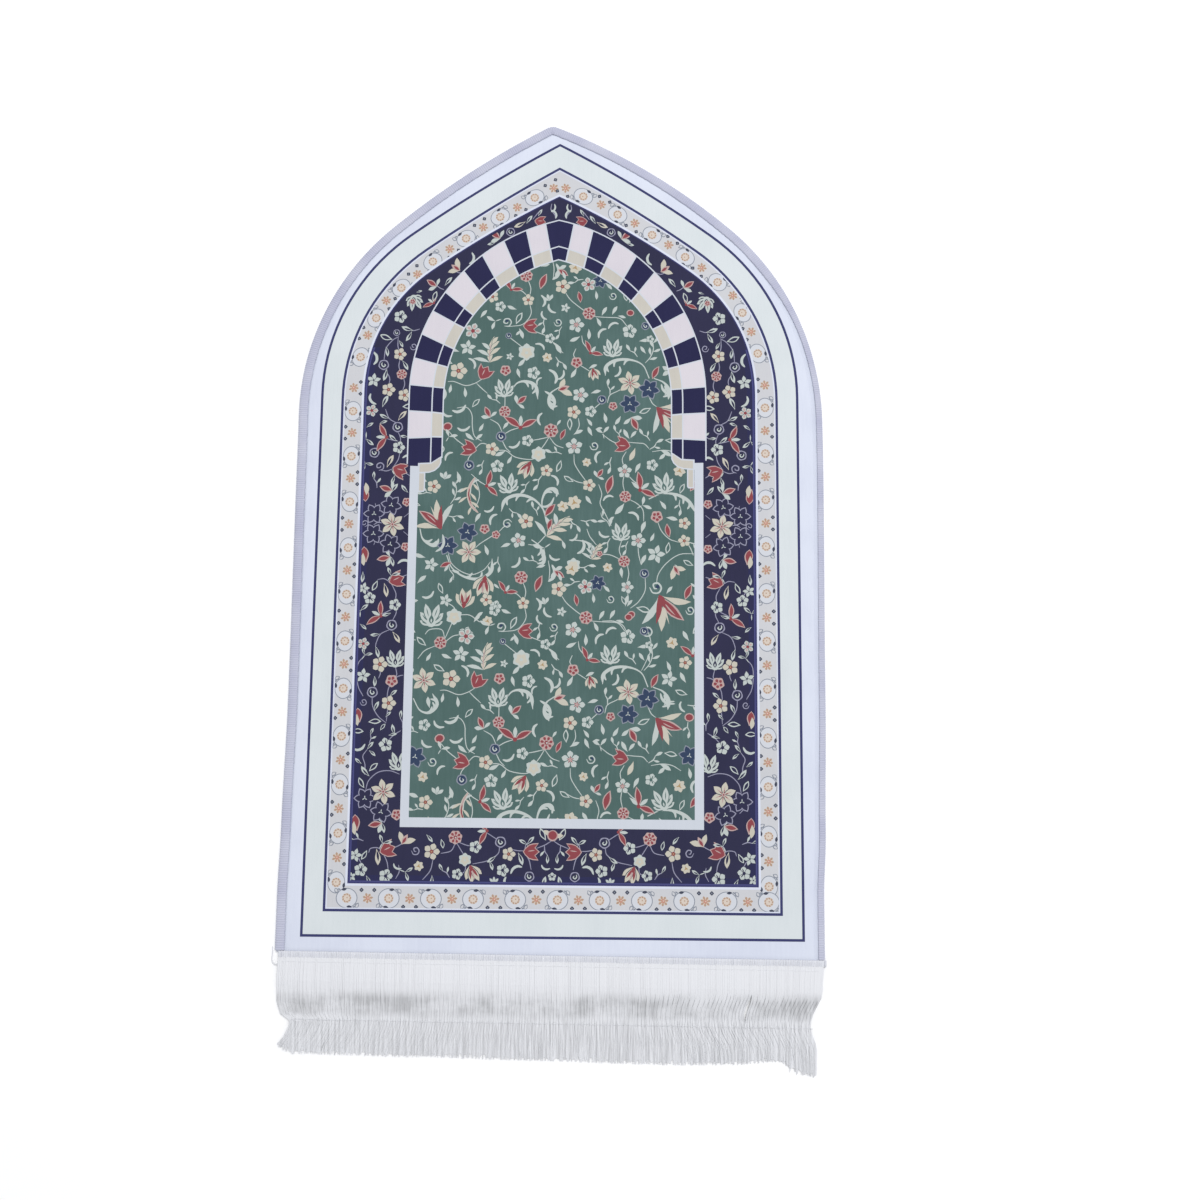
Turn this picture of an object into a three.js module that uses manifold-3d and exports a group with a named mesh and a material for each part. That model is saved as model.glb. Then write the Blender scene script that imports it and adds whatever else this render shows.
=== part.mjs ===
// A padded prayer mat laid out flat: an arch-shaped slab of cloth, its overlocked
// edge band, and the fringe sewn over its straight lower hem.
// Millimetres, +Z up. The mat lies on z = 0 with the arch's point toward +Y.

import * as THREE from 'three';
import { mergeVertices } from 'three/addons/utils/BufferGeometryUtils.js';
import Module from 'manifold-3d';

const wasm = await Module();
wasm.setup();

// Driving sizes. Heights along Y are counted from the middle of the hem.
const HALF_WIDTH = 326; // hem to hem across the straight sides, halved
const BODY_LENGTH = 1040; // hem to the arch's rounded point
const SPRINGING = 657; // where the straight sides turn into the arch
const SHOULDER_SWEEP = THREE.MathUtils.degToRad(49);
const POINT_SHIFT = -13; // the point leans to the left of the centre line
const HEM_SLOPE = -0.0075; // the hem drops a little toward the right

// The edge: the cloth is pinched thin under the band that wraps it.
const BAND_REACH = 14; // from the outer edge in to where the cloth has its full height
const BAND_WIDTH = 11;
const BAND_TOP = 6.1;
const BAND_WALL = 1;
const GAP = 0.3;
const MAT_TOP = 6;
const RIM_LOW = BAND_WALL + GAP;
const RIM_HIGH = BAND_TOP - BAND_WALL - GAP;
const RIM_REACH = BAND_REACH - BAND_WALL - GAP;
const RIM_START = BAND_REACH - BAND_WIDTH - GAP;

// The sides bulge and draw in a little, as cut and sewn cloth does: outward is positive.
const SIDE_DRIFT = [
  { height: 70, left: 1.5, right: -4.5 },
  { height: 150, left: 0, right: -1.5 },
  { height: 300, left: -2, right: 0.5 },
  { height: 600, left: -1, right: 2 },
  { height: 760, left: 0, right: 0 },
];

// Steps along the outline.
const SIDE_STEPS = 14;
const SHOULDER_STEPS = 14;
const UPPER_STEPS = 7;
const POINT_STEPS = 5;
const HEM_STEPS = 12;

// The fringe: a tape folded over the hem, and the strands that hang from it.
const TAPE_OVER = 8; // tape on the mat's face, above the hem
const TAPE_PAST = 3;
const TAPE_THICK = 1.2;
const TAPE_HALF = 323;
const STRANDS = 198;
const STRAND_WIDTH = 2.1;
const STRAND_HEIGHT = 2.2;
const STRAND_ROOT = 2.2; // depth of a strand's root in the tape
const ROOT_RISE = 3.2; // a strand leaves the tape this high
const LANDED = 48; // and lies on the floor from here on
const STATIONS = [12, 28, 46, 62, 76, 92]; // where a strand's run is set, between root and tip

// Length of the strands across the hem.
const STRAND_LENGTHS = [
  { across: -322, length: 106 },
  { across: -298, length: 113 },
  { across: -150, length: 114 },
  { across: 0, length: 116 },
  { across: 140, length: 118 },
  { across: 215, length: 116 },
  { across: 265, length: 112 },
  { across: 300, length: 126 },
  { across: 322, length: 129 },
];

// Sideways run of the strands, by how far they are down from the tape. The left end is
// drawn in at the waist and flares out at the tips, and the right end leans inward.
const STRAND_RUNS = [
  { down: 0, left: 0, right: 0 },
  { down: 30, left: 3, right: -1.5 },
  { down: 55, left: 7, right: -5 },
  { down: 76, left: 19, right: -9 },
  { down: 92, left: 13, right: -11 },
  { down: 106, left: 4, right: -12 },
  { down: 130, left: 2, right: -13 },
];
const LEFT_END_WIDTH = 150; // how far in from each end its run fades out
const RIGHT_END_WIDTH = 150;

const CLOTH = new THREE.MeshStandardMaterial({ name: 'printed velvet', color: 0x8f9db0, roughness: 0.9 });
const BAND = new THREE.MeshStandardMaterial({ name: 'overlock thread', color: 0xc5c8e0, roughness: 0.8 });
const YARN = new THREE.MeshStandardMaterial({ name: 'fringe yarn', color: 0xe6e7ea, roughness: 0.85 });

// The value of one column of a table at a place along it, eased between its rows.
function along(table, key, place, column) {
  const last = table.length - 1;
  if (place <= table[0][key]) return table[0][column];
  if (place >= table[last][key]) return table[last][column];
  const row = table.findIndex((entry) => entry[key] > place);
  const low = table[row - 1];
  const high = table[row];
  const share = THREE.MathUtils.smoothstep(place, low[key], high[key]);
  return THREE.MathUtils.lerp(low[column], high[column], share);
}

// A repeatable unevenness between -1 and 1.
function uneven(seed) {
  const wave = Math.sin(seed * 12.9898) * 43758.5453;
  return 2 * (wave - Math.floor(wave)) - 1;
}

// One half of the arch, from its springing to its point: a shoulder arc about the centre
// line, and a flatter arc for the upper run. Each place has its outward direction.
function archHalf(side) {
  const shoulder = HALF_WIDTH - BAND_REACH;
  const point = new THREE.Vector2(side * POINT_SHIFT, BODY_LENGTH - BAND_REACH);
  const turn = new THREE.Vector2(Math.cos(SHOULDER_SWEEP), Math.sin(SHOULDER_SWEEP));
  const joint = new THREE.Vector2(0, SPRINGING).addScaledVector(turn, shoulder);
  const chord = point.clone().sub(joint);
  const upper = chord.lengthSq() / (-2 * chord.dot(turn));
  const centre = joint.clone().addScaledVector(turn, -upper);
  const places = [];
  const arc = (middle, radius, from, to, first, steps) => {
    for (let i = first; i <= steps; i++) {
      const angle = THREE.MathUtils.lerp(from, to, i / steps);
      const out = new THREE.Vector2(Math.cos(angle), Math.sin(angle));
      const place = middle.clone().addScaledVector(out, radius);
      places.push({ x: side * place.x, y: place.y, out: new THREE.Vector2(side * out.x, out.y) });
    }
  };
  arc(new THREE.Vector2(0, SPRINGING), shoulder, 0, SHOULDER_SWEEP, 0, SHOULDER_STEPS);
  arc(centre, upper, SHOULDER_SWEEP, point.clone().sub(centre).angle(), 1, UPPER_STEPS);
  return places;
}

// The sharp line BAND_REACH inside the edge, from the hem up the right side, over the point
// and down the left side. Everything at the edge is an outward offset of this line.
function edgeLine() {
  const places = [];
  const inner = HALF_WIDTH - BAND_REACH;
  const foot = (side) => BAND_REACH + HEM_SLOPE * side * HALF_WIDTH;
  const sidePlaces = (side) => {
    const low = foot(side);
    const run = [];
    for (let i = 0; i < SIDE_STEPS; i++) {
      const y = THREE.MathUtils.lerp(low, SPRINGING, i / SIDE_STEPS);
      run.push({ x: side * inner, y, out: new THREE.Vector2(side, 0) });
    }
    return run;
  };
  const right = archHalf(1);
  const left = archHalf(-1);
  places.push(...sidePlaces(1), ...right);
  const start = right[right.length - 1].out.angle();
  const end = left[left.length - 1].out.angle();
  const tip = right[right.length - 1];
  for (let i = 1; i < POINT_STEPS; i++) {
    const angle = THREE.MathUtils.lerp(start, end, i / POINT_STEPS);
    places.push({ x: tip.x, y: tip.y, out: new THREE.Vector2(Math.cos(angle), Math.sin(angle)) });
  }
  places.push(...left.reverse(), ...sidePlaces(-1).reverse());
  for (const place of places) {
    const side = place.x < 0 ? -1 : 1;
    const share = THREE.MathUtils.smoothstep(Math.abs(place.x), 0, inner);
    place.x += side * share * along(SIDE_DRIFT, 'height', place.y, side < 0 ? 'left' : 'right');
  }
  return places;
}

const EDGE = edgeLine();

// The closed loop for the mat: the edge line and the hem, with square corners at the hem.
function matLoop() {
  const loop = EDGE.map((place) => ({ ...place }));
  const first = loop[0];
  const last = loop[loop.length - 1];
  first.out = new THREE.Vector2(1, -1);
  last.out = new THREE.Vector2(-1, -1);
  for (let i = 1; i < HEM_STEPS; i++) {
    const share = i / HEM_STEPS;
    const x = THREE.MathUtils.lerp(last.x, first.x, share);
    const y = THREE.MathUtils.lerp(last.y, first.y, share);
    loop.push({ x, y, out: new THREE.Vector2(0, -1) });
  }
  return loop;
}

// The face swells and sinks by a fraction of a millimetre, as padded cloth does.
function swell(x, y) {
  const broad = Math.sin(x / 118 + 0.7) * Math.sin(y / 149 + 0.4);
  const fine = Math.sin(x / 61 - y / 83);
  return 0.35 * broad + 0.15 * fine;
}

function solidFrom(points, faces) {
  const geometry = new THREE.BufferGeometry();
  geometry.setAttribute('position', new THREE.Float32BufferAttribute(points.flat(), 3));
  geometry.setIndex(faces.flat());
  geometry.computeVertexNormals();
  return geometry;
}

// Stacks loops of equal count into faces that point out when the loops turn
// anticlockwise seen from above and go outward over the top.
function bridge(faces, lower, upper, count, closed = true) {
  const steps = closed ? count : count - 1;
  for (let i = 0; i < steps; i++) {
    const next = (i + 1) % count;
    faces.push([lower + i, lower + next, upper + next], [lower + i, upper + next, upper + i]);
  }
}

// The mat's section from the middle of its underside, out round the rim and back over the
// face. Rows inside the edge line shrink toward the middle, the others are offsets of it.
function matSolid() {
  const loop = matLoop();
  const count = loop.length;
  const middle = { x: 0, y: BODY_LENGTH * 0.47 };
  const section = [
    { shrink: 0.5, z: 0 },
    { offset: 0, z: 0 },
    { offset: RIM_START, z: RIM_LOW },
    { offset: RIM_REACH - 1, z: RIM_LOW },
    { offset: RIM_REACH, z: (RIM_LOW + RIM_HIGH) / 2 },
    { offset: RIM_REACH - 1, z: RIM_HIGH },
    { offset: RIM_START, z: RIM_HIGH },
    { offset: 0, z: MAT_TOP },
    { shrink: 0.88, z: MAT_TOP, swells: true },
    { shrink: 0.7, z: MAT_TOP, swells: true },
    { shrink: 0.5, z: MAT_TOP, swells: true },
    { shrink: 0.3, z: MAT_TOP, swells: true },
    { shrink: 0.12, z: MAT_TOP, swells: true },
  ];
  const points = [[middle.x, middle.y, 0]];
  const faces = [];
  for (const row of section) {
    for (const place of loop) {
      const scale = row.shrink ?? 1;
      const x = middle.x + (place.x - middle.x) * scale + place.out.x * (row.offset ?? 0);
      const y = middle.y + (place.y - middle.y) * scale + place.out.y * (row.offset ?? 0);
      points.push([x, y, row.z + (row.swells ? swell(x, y) : 0)]);
    }
  }
  const top = points.length;
  points.push([middle.x, middle.y, MAT_TOP + swell(middle.x, middle.y)]);
  for (let i = 0; i < count; i++) {
    const next = (i + 1) % count;
    const last = top - count;
    faces.push([0, 1 + next, 1 + i], [top, last + i, last + next]);
  }
  for (let row = 0; row + 1 < section.length; row++) {
    bridge(faces, 1 + row * count, 1 + (row + 1) * count, count);
  }
  return solidFrom(points, faces);
}

// The band's section: a flat channel open toward the cloth, with a rounded outer side.
function bandSection() {
  const inner = BAND_REACH - BAND_WIDTH;
  const low = BAND_WALL;
  const high = BAND_TOP - BAND_WALL;
  return [
    { offset: inner, z: 0 },
    { offset: BAND_REACH - 1.2, z: 0 },
    { offset: BAND_REACH - 0.3, z: 1.3 },
    { offset: BAND_REACH, z: BAND_TOP / 2 },
    { offset: BAND_REACH - 0.3, z: BAND_TOP - 1.3 },
    { offset: BAND_REACH - 1.4, z: BAND_TOP - 0.2 },
    { offset: BAND_REACH - 5, z: BAND_TOP },
    { offset: inner + 0.8, z: BAND_TOP },
    { offset: inner, z: BAND_TOP - 0.4 },
    { offset: inner, z: high },
    { offset: BAND_REACH - BAND_WALL, z: high },
    { offset: BAND_REACH - BAND_WALL, z: low },
    { offset: inner, z: low },
  ];
}

// The band runs from the hem up one side, over the point and down the other.
function bandSolid() {
  const section = bandSection();
  const count = section.length;
  const points = [];
  const faces = [];
  const run = EDGE.filter((place) => place.y > TAPE_OVER + 2);
  const hemCut = (place, side) => ({ ...place, y: TAPE_OVER + HEM_SLOPE * side * HALF_WIDTH + 2 * GAP });
  const path = [hemCut(run[0], 1), ...run, hemCut(run[run.length - 1], -1)];
  for (const place of path) {
    for (const corner of section) {
      points.push([place.x + place.out.x * corner.offset, place.y + place.out.y * corner.offset, corner.z]);
    }
  }
  for (let i = 0; i + 1 < path.length; i++) {
    bridge(faces, (i + 1) * count, i * count, count);
  }
  const outline = section.map((corner) => new THREE.Vector2(corner.offset, corner.z));
  const caps = THREE.ShapeUtils.triangulateShape(outline, []);
  const end = (path.length - 1) * count;
  for (const [a, b, c] of caps) {
    faces.push([a, b, c], [end + a, end + c, end + b]);
  }
  return solidFrom(points, faces);
}

// How far a strand has run sideways at a place down its length.
function strandRun(across, down) {
  const fromLeft = THREE.MathUtils.clamp((across + TAPE_HALF) / LEFT_END_WIDTH, 0, 1);
  const fromRight = THREE.MathUtils.clamp((TAPE_HALF - across) / RIGHT_END_WIDTH, 0, 1);
  const left = along(STRAND_RUNS, 'down', down, 'left') * (1 - fromLeft) ** 2;
  const right = along(STRAND_RUNS, 'down', down, 'right') * (1 - fromRight) ** 2;
  const sway = 1.6 * Math.sin(across / 34 + 1) * THREE.MathUtils.smoothstep(down, 25, 110);
  return left + right + sway;
}

// One strand: a three-sided tapering tube with its flat side down.
function strandSolid(index) {
  const share = index / (STRANDS - 1);
  const across = THREE.MathUtils.lerp(-TAPE_HALF + STRAND_WIDTH, TAPE_HALF - STRAND_WIDTH, share);
  const length = along(STRAND_LENGTHS, 'across', across, 'length') + 1.6 * uneven(index);
  const start = TAPE_PAST - STRAND_ROOT;
  const downs = [start, ...STATIONS, length];
  const steps = downs.length - 1;
  const points = [];
  const faces = [];
  downs.forEach((down, i) => {
    const x = across + strandRun(across, down);
    const y = HEM_SLOPE * across - down;
    const z = ROOT_RISE * (1 - THREE.MathUtils.smoothstep(down, start, LANDED));
    const taper = i === steps ? 0.55 : 1;
    const half = (STRAND_WIDTH * taper) / 2;
    points.push([x - half, y, z], [x + half, y, z], [x, y, z + STRAND_HEIGHT * taper]);
  });
  for (let i = 0; i < steps; i++) {
    bridge(faces, i * 3, (i + 1) * 3, 3);
  }
  const end = steps * 3;
  faces.push([0, 2, 1], [end, end + 1, end + 2]);
  return solidFrom(points, faces);
}

function toManifold(geometry) {
  const bare = geometry.clone();
  bare.deleteAttribute('normal');
  const merged = mergeVertices(bare, 1e-4);
  const vertProperties = new Float32Array(merged.attributes.position.array);
  const triVerts = new Uint32Array(merged.index.array);
  return new wasm.Manifold(new wasm.Mesh({ numProp: 3, vertProperties, triVerts }));
}

function fromManifold(solid) {
  const mesh = solid.getMesh();
  const geometry = new THREE.BufferGeometry();
  geometry.setAttribute('position', new THREE.BufferAttribute(new Float32Array(mesh.vertProperties), 3));
  geometry.setIndex(new THREE.BufferAttribute(new Uint32Array(mesh.triVerts), 1));
  geometry.computeVertexNormals();
  return geometry;
}

// The tape lies on the mat's face above the hem and turns down in front of it.
function tapeSolid() {
  const under = RIM_HIGH + GAP;
  const top = under + TAPE_THICK;
  const outline = new THREE.Shape([
    new THREE.Vector2(TAPE_OVER, under),
    new THREE.Vector2(TAPE_OVER, top),
    new THREE.Vector2(-TAPE_PAST + 1, top),
    new THREE.Vector2(-TAPE_PAST, top - 1),
    new THREE.Vector2(-TAPE_PAST, RIM_LOW),
    new THREE.Vector2(-GAP * 2, RIM_LOW),
    new THREE.Vector2(-GAP * 2, under),
  ]);
  const tape = new THREE.ExtrudeGeometry(outline, { depth: 2 * TAPE_HALF, bevelEnabled: false, steps: 1 });
  const toMat = new THREE.Matrix4().makeBasis(
    new THREE.Vector3(0, 1, 0),
    new THREE.Vector3(0, 0, 1),
    new THREE.Vector3(1, 0, 0),
  );
  tape.applyMatrix4(toMat);
  tape.translate(-TAPE_HALF, 0, 0);
  tape.applyMatrix4(new THREE.Matrix4().makeRotationZ(Math.atan(HEM_SLOPE)));
  tape.deleteAttribute('uv');
  return tape;
}

function fringeSolid() {
  let fringe = toManifold(tapeSolid());
  for (let index = 0; index < STRANDS; index++) {
    fringe = fringe.add(toManifold(strandSolid(index)));
  }
  return fromManifold(fringe);
}

const part = new THREE.Group();
for (const [name, geometry, material] of [
  ['mat', matSolid(), CLOTH],
  ['edge_band', bandSolid(), BAND],
  ['fringe', fringeSolid(), YARN],
]) {
  const mesh = new THREE.Mesh(geometry, material);
  mesh.name = name;
  part.add(mesh);
}

// The origin is under the middle of the whole length, fringe included.
const box = new THREE.Box3().setFromObject(part);
const centre = box.getCenter(new THREE.Vector3());
part.position.set(-centre.x, -centre.y, -box.min.z);
part.updateMatrixWorld(true);

export default part;
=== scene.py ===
import math
from collections import namedtuple

import bpy
import numpy as np
from mathutils import Matrix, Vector
from mathutils.geometry import delaunay_2d_cdt


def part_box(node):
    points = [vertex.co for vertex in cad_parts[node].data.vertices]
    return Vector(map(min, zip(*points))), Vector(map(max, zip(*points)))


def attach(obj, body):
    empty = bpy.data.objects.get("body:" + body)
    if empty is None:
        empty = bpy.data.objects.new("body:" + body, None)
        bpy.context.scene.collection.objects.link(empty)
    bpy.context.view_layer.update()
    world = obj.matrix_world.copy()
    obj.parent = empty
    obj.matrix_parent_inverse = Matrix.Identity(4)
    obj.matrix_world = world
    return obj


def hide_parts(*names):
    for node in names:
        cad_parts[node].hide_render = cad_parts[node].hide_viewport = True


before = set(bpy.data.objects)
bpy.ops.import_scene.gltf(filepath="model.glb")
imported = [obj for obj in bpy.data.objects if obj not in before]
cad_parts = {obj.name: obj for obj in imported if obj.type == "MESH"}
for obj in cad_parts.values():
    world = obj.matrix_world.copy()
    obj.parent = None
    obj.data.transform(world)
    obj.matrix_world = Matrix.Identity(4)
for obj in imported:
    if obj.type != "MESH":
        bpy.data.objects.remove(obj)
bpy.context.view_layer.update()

# A prayer mat lying flat: printed velvet with an arched niche full of flowers, an
# overlocked edge band and a long yarn fringe. The print is drawn in millimetres:
# x counts from the middle, y from the foot of the outer printed line.
mat_low, mat_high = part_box("mat")

# Real sizes, in millimetres, as in the part's source.
HALF_WIDTH = 326
HEM = -22
POINT = 1018
SPRINGING = 635
SHOULDER_SWEEP = 49
POINT_SHIFT = -13
HEM_SLOPE = -0.0075
BAND_REACH = 14
MAT_TOP = 6.0
RIM_LOW = 1.3
RIM_HIGH = 4.8
RIM_REACH = 12.7
RIM_START = 2.7

# The cloth's right edge and its point in the print, which tie the print to the part.
CLOTH_RIGHT = 326.7
CLOTH_POINT = 1016.7
SHIFT_X = mat_high.x * 1000 - CLOTH_RIGHT
SHIFT_Y = mat_high.y * 1000 - CLOTH_POINT

# How far each side strays outward from a straight line, by the place up the mat.
SIDE_DRIFT = [
    {"y": 48, "left": 1.5, "right": -4.5},
    {"y": 128, "left": 0, "right": -1.5},
    {"y": 278, "left": -2, "right": 0.5},
    {"y": 578, "left": -1, "right": 2},
    {"y": 738, "left": 0, "right": 0},
]


def smooth(value, low, high):
    share = np.clip((np.asarray(value, float) - low) / (high - low), 0, 1)
    return share * share * (3 - 2 * share)


def eased(table, key, place, column):
    """One column of a table at a place along it, eased between its rows."""
    keys = np.array([row[key] for row in table], float)
    values = np.array([row[column] for row in table], float)
    place = np.clip(np.asarray(place, float), keys[0], keys[-1])
    row = np.clip(np.searchsorted(keys, place, "right") - 1, 0, len(keys) - 2)
    share = (place - keys[row]) / (keys[row + 1] - keys[row])
    share = share * share * (3 - 2 * share)
    return values[row] * (1 - share) + values[row + 1] * share


def uneven(seed):
    """A repeatable unevenness between -1 and 1."""
    wave = np.sin(np.asarray(seed, float) * 12.9898) * 43758.5453
    return 2 * (wave - np.floor(wave)) - 1


# The camera, fitted to the photograph's straight sides and printed lines: its place in the
# print and over it, and how it is turned, in degrees.
CAMERA_X = 64.13
CAMERA_Y = 219.15
CAMERA_ABOVE = 1454.96
CAMERA_TILT = -7.2347
CAMERA_YAW = -0.4394
CAMERA_ROLL = -0.5193
LENS = 36


def camera():
    tilt, yaw, roll = (math.radians(a) for a in (CAMERA_TILT, CAMERA_YAW, CAMERA_ROLL))
    turn = Matrix.Rotation(roll, 3, "Z") @ Matrix.Rotation(tilt, 3, "X") @ Matrix.Rotation(yaw, 3, "Y")
    data = bpy.data.cameras.new("camera")
    data.sensor_width = 36
    data.lens = LENS
    seat = bpy.data.objects.new("camera", data)
    place = ((CAMERA_X + SHIFT_X) / 1000, (CAMERA_Y + SHIFT_Y) / 1000, (CAMERA_ABOVE + MAT_TOP) / 1000)
    seat.matrix_world = Matrix.Translation(place) @ turn.transposed().to_4x4()
    bpy.context.collection.objects.link(seat)
    bpy.context.scene.camera = seat


camera()


# Colours are sRGB hex. They are turned to linear here.
def linear(code):
    parts = [int(code[i : i + 2], 16) / 255 for i in (1, 3, 5)]
    return (*(p / 12.92 if p <= 0.04045 else ((p + 0.055) / 1.055) ** 2.4 for p in parts), 1.0)


def add(tree, kind, values=None, links=None, **settings):
    """Adds one node with its settings, its input values and its links."""
    node = tree.nodes.new(kind)
    for name, value in settings.items():
        setattr(node, name, value)
    for name, value in (values or {}).items():
        node.inputs[name].default_value = value
    for name, source in (links or {}).items():
        tree.links.new(source, node.inputs[name])
    return node


def noise(tree, place, scale, detail, **values):
    """Noise over the cloth. scale is the count of its features in a metre: one number, or
    one for each direction."""
    if isinstance(scale, tuple):
        place = add(tree, "ShaderNodeMapping", {"Scale": scale}, {"Vector": place}).outputs[0]
        scale = 1
    made = add(tree, "ShaderNodeTexNoise", {"Scale": scale, "Detail": detail, **values}, {"Vector": place})
    return made.outputs["Fac"]


def ranged(tree, value, start, end, low, high, **settings):
    """A value between start and end, moved to between low and high."""
    limits = {"From Min": start, "From Max": end, "To Min": low, "To Max": high}
    return add(tree, "ShaderNodeMapRange", limits, {"Value": value}, **settings).outputs["Result"]


def joined(tree, operation, *parts, **settings):
    """Values and plain numbers joined by one operation."""
    numbers = {k: part for k, part in enumerate(parts) if isinstance(part, float)}
    links = {k: part for k, part in enumerate(parts) if k not in numbers}
    return add(tree, "ShaderNodeMath", numbers, links, operation=operation, **settings).outputs[0]


def cloth_material(name, code, roughness, sheen):
    """A matt cloth or thread of one colour, and what its pattern is added to."""
    material = bpy.data.materials.new(name)
    material.use_nodes = True
    tree = material.node_tree
    shader = tree.nodes["Principled BSDF"]
    shader.inputs["Base Color"].default_value = linear(code)
    shader.inputs["Roughness"].default_value = roughness
    shader.inputs["IOR"].default_value = 1.45
    shader.inputs["Specular IOR Level"].default_value = 0.15
    shader.inputs["Sheen Weight"].default_value = sheen
    shader.inputs["Sheen Roughness"].default_value = 0.45
    place = add(tree, "ShaderNodeTexCoord").outputs["Object"]
    return material, tree, shader, place


def bumped(tree, shader, height, strength, distance):
    bump = add(tree, "ShaderNodeBump", {"Strength": strength, "Distance": distance}, {"Height": height})
    tree.links.new(bump.outputs["Normal"], shader.inputs["Normal"])


def two_toned(tree, shader, share, code, other_code):
    """The base colour goes from one colour to the other with share."""
    colour = add(tree, "ShaderNodeMix", None, {"Factor": share}, data_type="RGBA")
    colour.inputs[6].default_value = linear(code)
    colour.inputs[7].default_value = linear(other_code)
    tree.links.new(colour.outputs[2], shader.inputs["Base Color"])


def printed_velvet(name, code, shade=None):
    """Polyester velvet with a short cut pile, printed by heat transfer: matt, with a soft
    bloom at grazing angles. The pile lies in faint lengthwise rows about 2.5 mm apart. Real
    tufts are 0.3 mm, too fine to show, so the bump's grain is drawn at 1.6 mm. The large
    grounds also vary a little in depth of colour, about every 70 mm, as pile does where it
    was brushed."""
    material, tree, shader, place = cloth_material(name, code, 0.9, 0.07)
    rows = noise(tree, place, (1000 / 2.5, 1000 / 26, 400), 2)
    grain = noise(tree, place, 1000 / 1.6, 3)
    bumped(tree, shader, joined(tree, "ADD", rows, grain), 0.35, 0.0006)
    rough = ranged(tree, grain, 0.3, 0.7, 0.82, 0.98)
    tree.links.new(rough, shader.inputs["Roughness"])
    if shade:
        brushed = ranged(tree, noise(tree, place, 1000 / 70, 3), 0.38, 0.66, 0, 0.5)
        streak = ranged(tree, rows, 0.3, 0.7, -0.16, 0.16)
        depth = joined(tree, "ADD", brushed, streak, use_clamp=True)
        two_toned(tree, shader, depth, code, shade)
    return material


# The print's inks: code, and a second tone for the grounds that cover much cloth.
INKS = {
    "margin": ("#D2D7E5", "#C8CDDD"),
    "mint": ("#D0D6D9", "#C9D0D3"),
    "line": ("#3A3D66", None),
    "rosette_ground": ("#C4C5C9", "#BEBFC4"),
    "rosette_pale": ("#C8CBD2", None),
    "scroll_grey": ("#828894", None),
    "leaf_grey": ("#434757", None),
    "peach": ("#AB907D", None),
    "pink_ring": ("#CDC1B6", None),
    "blush": ("#BA8C7C", None),
    "border_blue": ("#3B3C68", None),
    "border_rule": ("#525586", None),
    "border_rim": ("#2D2E50", "#2F2F4B"),
    "border": ("#2E2E46", "#33324E"),
    "frame": ("#C5CAD3", "#BFC5CE"),
    "stone_navy": ("#272747", "#2B2B4E"),
    "stone_pink": ("#CFCAD1", "#C7C2CB"),
    "stone_beige": ("#C0BCB3", "#B6B2AB"),
    "field": ("#4B6360", "#5A7270"),
    "pale": ("#B5BDBA", None),
    "stem": ("#8F8FA3", None),
    "cream": ("#BDB9AC", None),
    "red": ("#87444A", None),
    "rose": ("#B39C99", None),
    "dusk": ("#34415A", None),
    "gold": ("#A58B66", None),
}
ink_order = list(INKS)

# Outlines of the printed shapes, each with its ink and the ground it may show on.
shapes = []

# A motif shows only on its own ground. Each ground is the region laid in one ink.
GROUND_INKS = {"field": "field", "border": "border_rim", "band": "rosette_ground"}


def lay(ink, outline, ground=None):
    points = np.asarray(outline, float)
    ahead = np.roll(points, -1, axis=0)
    area = np.sum(points[:, 0] * ahead[:, 1] - ahead[:, 0] * points[:, 1])
    shapes.append((ink, points if area > 0 else points[::-1], ground))


def thinned(points, stray=0.12):
    """An outline without the points that lie within stray, in mm, of the line past them."""
    for odd in (0, 1, 0):
        if len(points) < 7:
            break
        before = np.roll(points, 1, axis=0)
        run = np.roll(points, -1, axis=0) - before
        step = points - before
        off = np.abs(run[:, 0] * step[:, 1] - run[:, 1] * step[:, 0])
        off = off / (np.linalg.norm(run, axis=1) + 1e-9)
        points = points[(off > stray) | (np.arange(len(points)) % 2 == odd)]
    return points


def turned(points, turn, size=1.0, at=(0.0, 0.0)):
    """Points that grow toward +Y, turned to grow toward another direction from a place."""
    c = math.cos(math.radians(turn - 90)) * size
    s = math.sin(math.radians(turn - 90)) * size
    x, y = np.asarray(points, float).T
    return np.stack([at[0] + c * x - s * y, at[1] + s * x + c * y], 1)


def pen(ground, x, y, turn=90.0, size=1.0, mirror=None):
    """Draws outlines that grow toward +Y from their root at a place in the print. mirror is
    the line, as a place across, to whose other side they go."""

    def draw(ink, outline):
        placed = turned(outline, turn, size, (x, y))
        if mirror is not None:
            placed[:, 0] = 2 * mirror - placed[:, 0]
        lay(ink, thinned(placed), ground)

    return draw


# Simple outlines, about (0, 0).
def petal(long, wide, turn=90.0, root=0.0, belly=0.5, bend=0.0, steps=6):
    """A leaf or petal: widest at its belly, and bent sideways by a share of its length."""
    share = np.linspace(0, 1, steps + 1)
    half = wide / 2 * np.sin(math.pi * share ** (math.log(0.5) / math.log(belly)))
    along = root + share * long
    side = bend * long * share**2
    slope = np.arctan2(np.gradient(side), np.gradient(along))
    left = np.stack([side - half * np.cos(slope), along + half * np.sin(slope)], 1)
    right = np.stack([side + half * np.cos(slope), along - half * np.sin(slope)], 1)
    return turned(np.concatenate([right[:-1], left[:0:-1]]), turn)


def disc(radius, at=(0, 0), steps=12, lobes=0, depth=0.0, tall=1.0):
    """A round outline, with a wavy edge where it has lobes."""
    angle = np.linspace(0, 2 * math.pi, max(steps, lobes * 4), endpoint=False)
    reach = radius * (1 + depth * np.cos(lobes * angle))
    return np.stack([at[0] + reach * np.cos(angle), at[1] + tall * reach * np.sin(angle)], 1)


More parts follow.
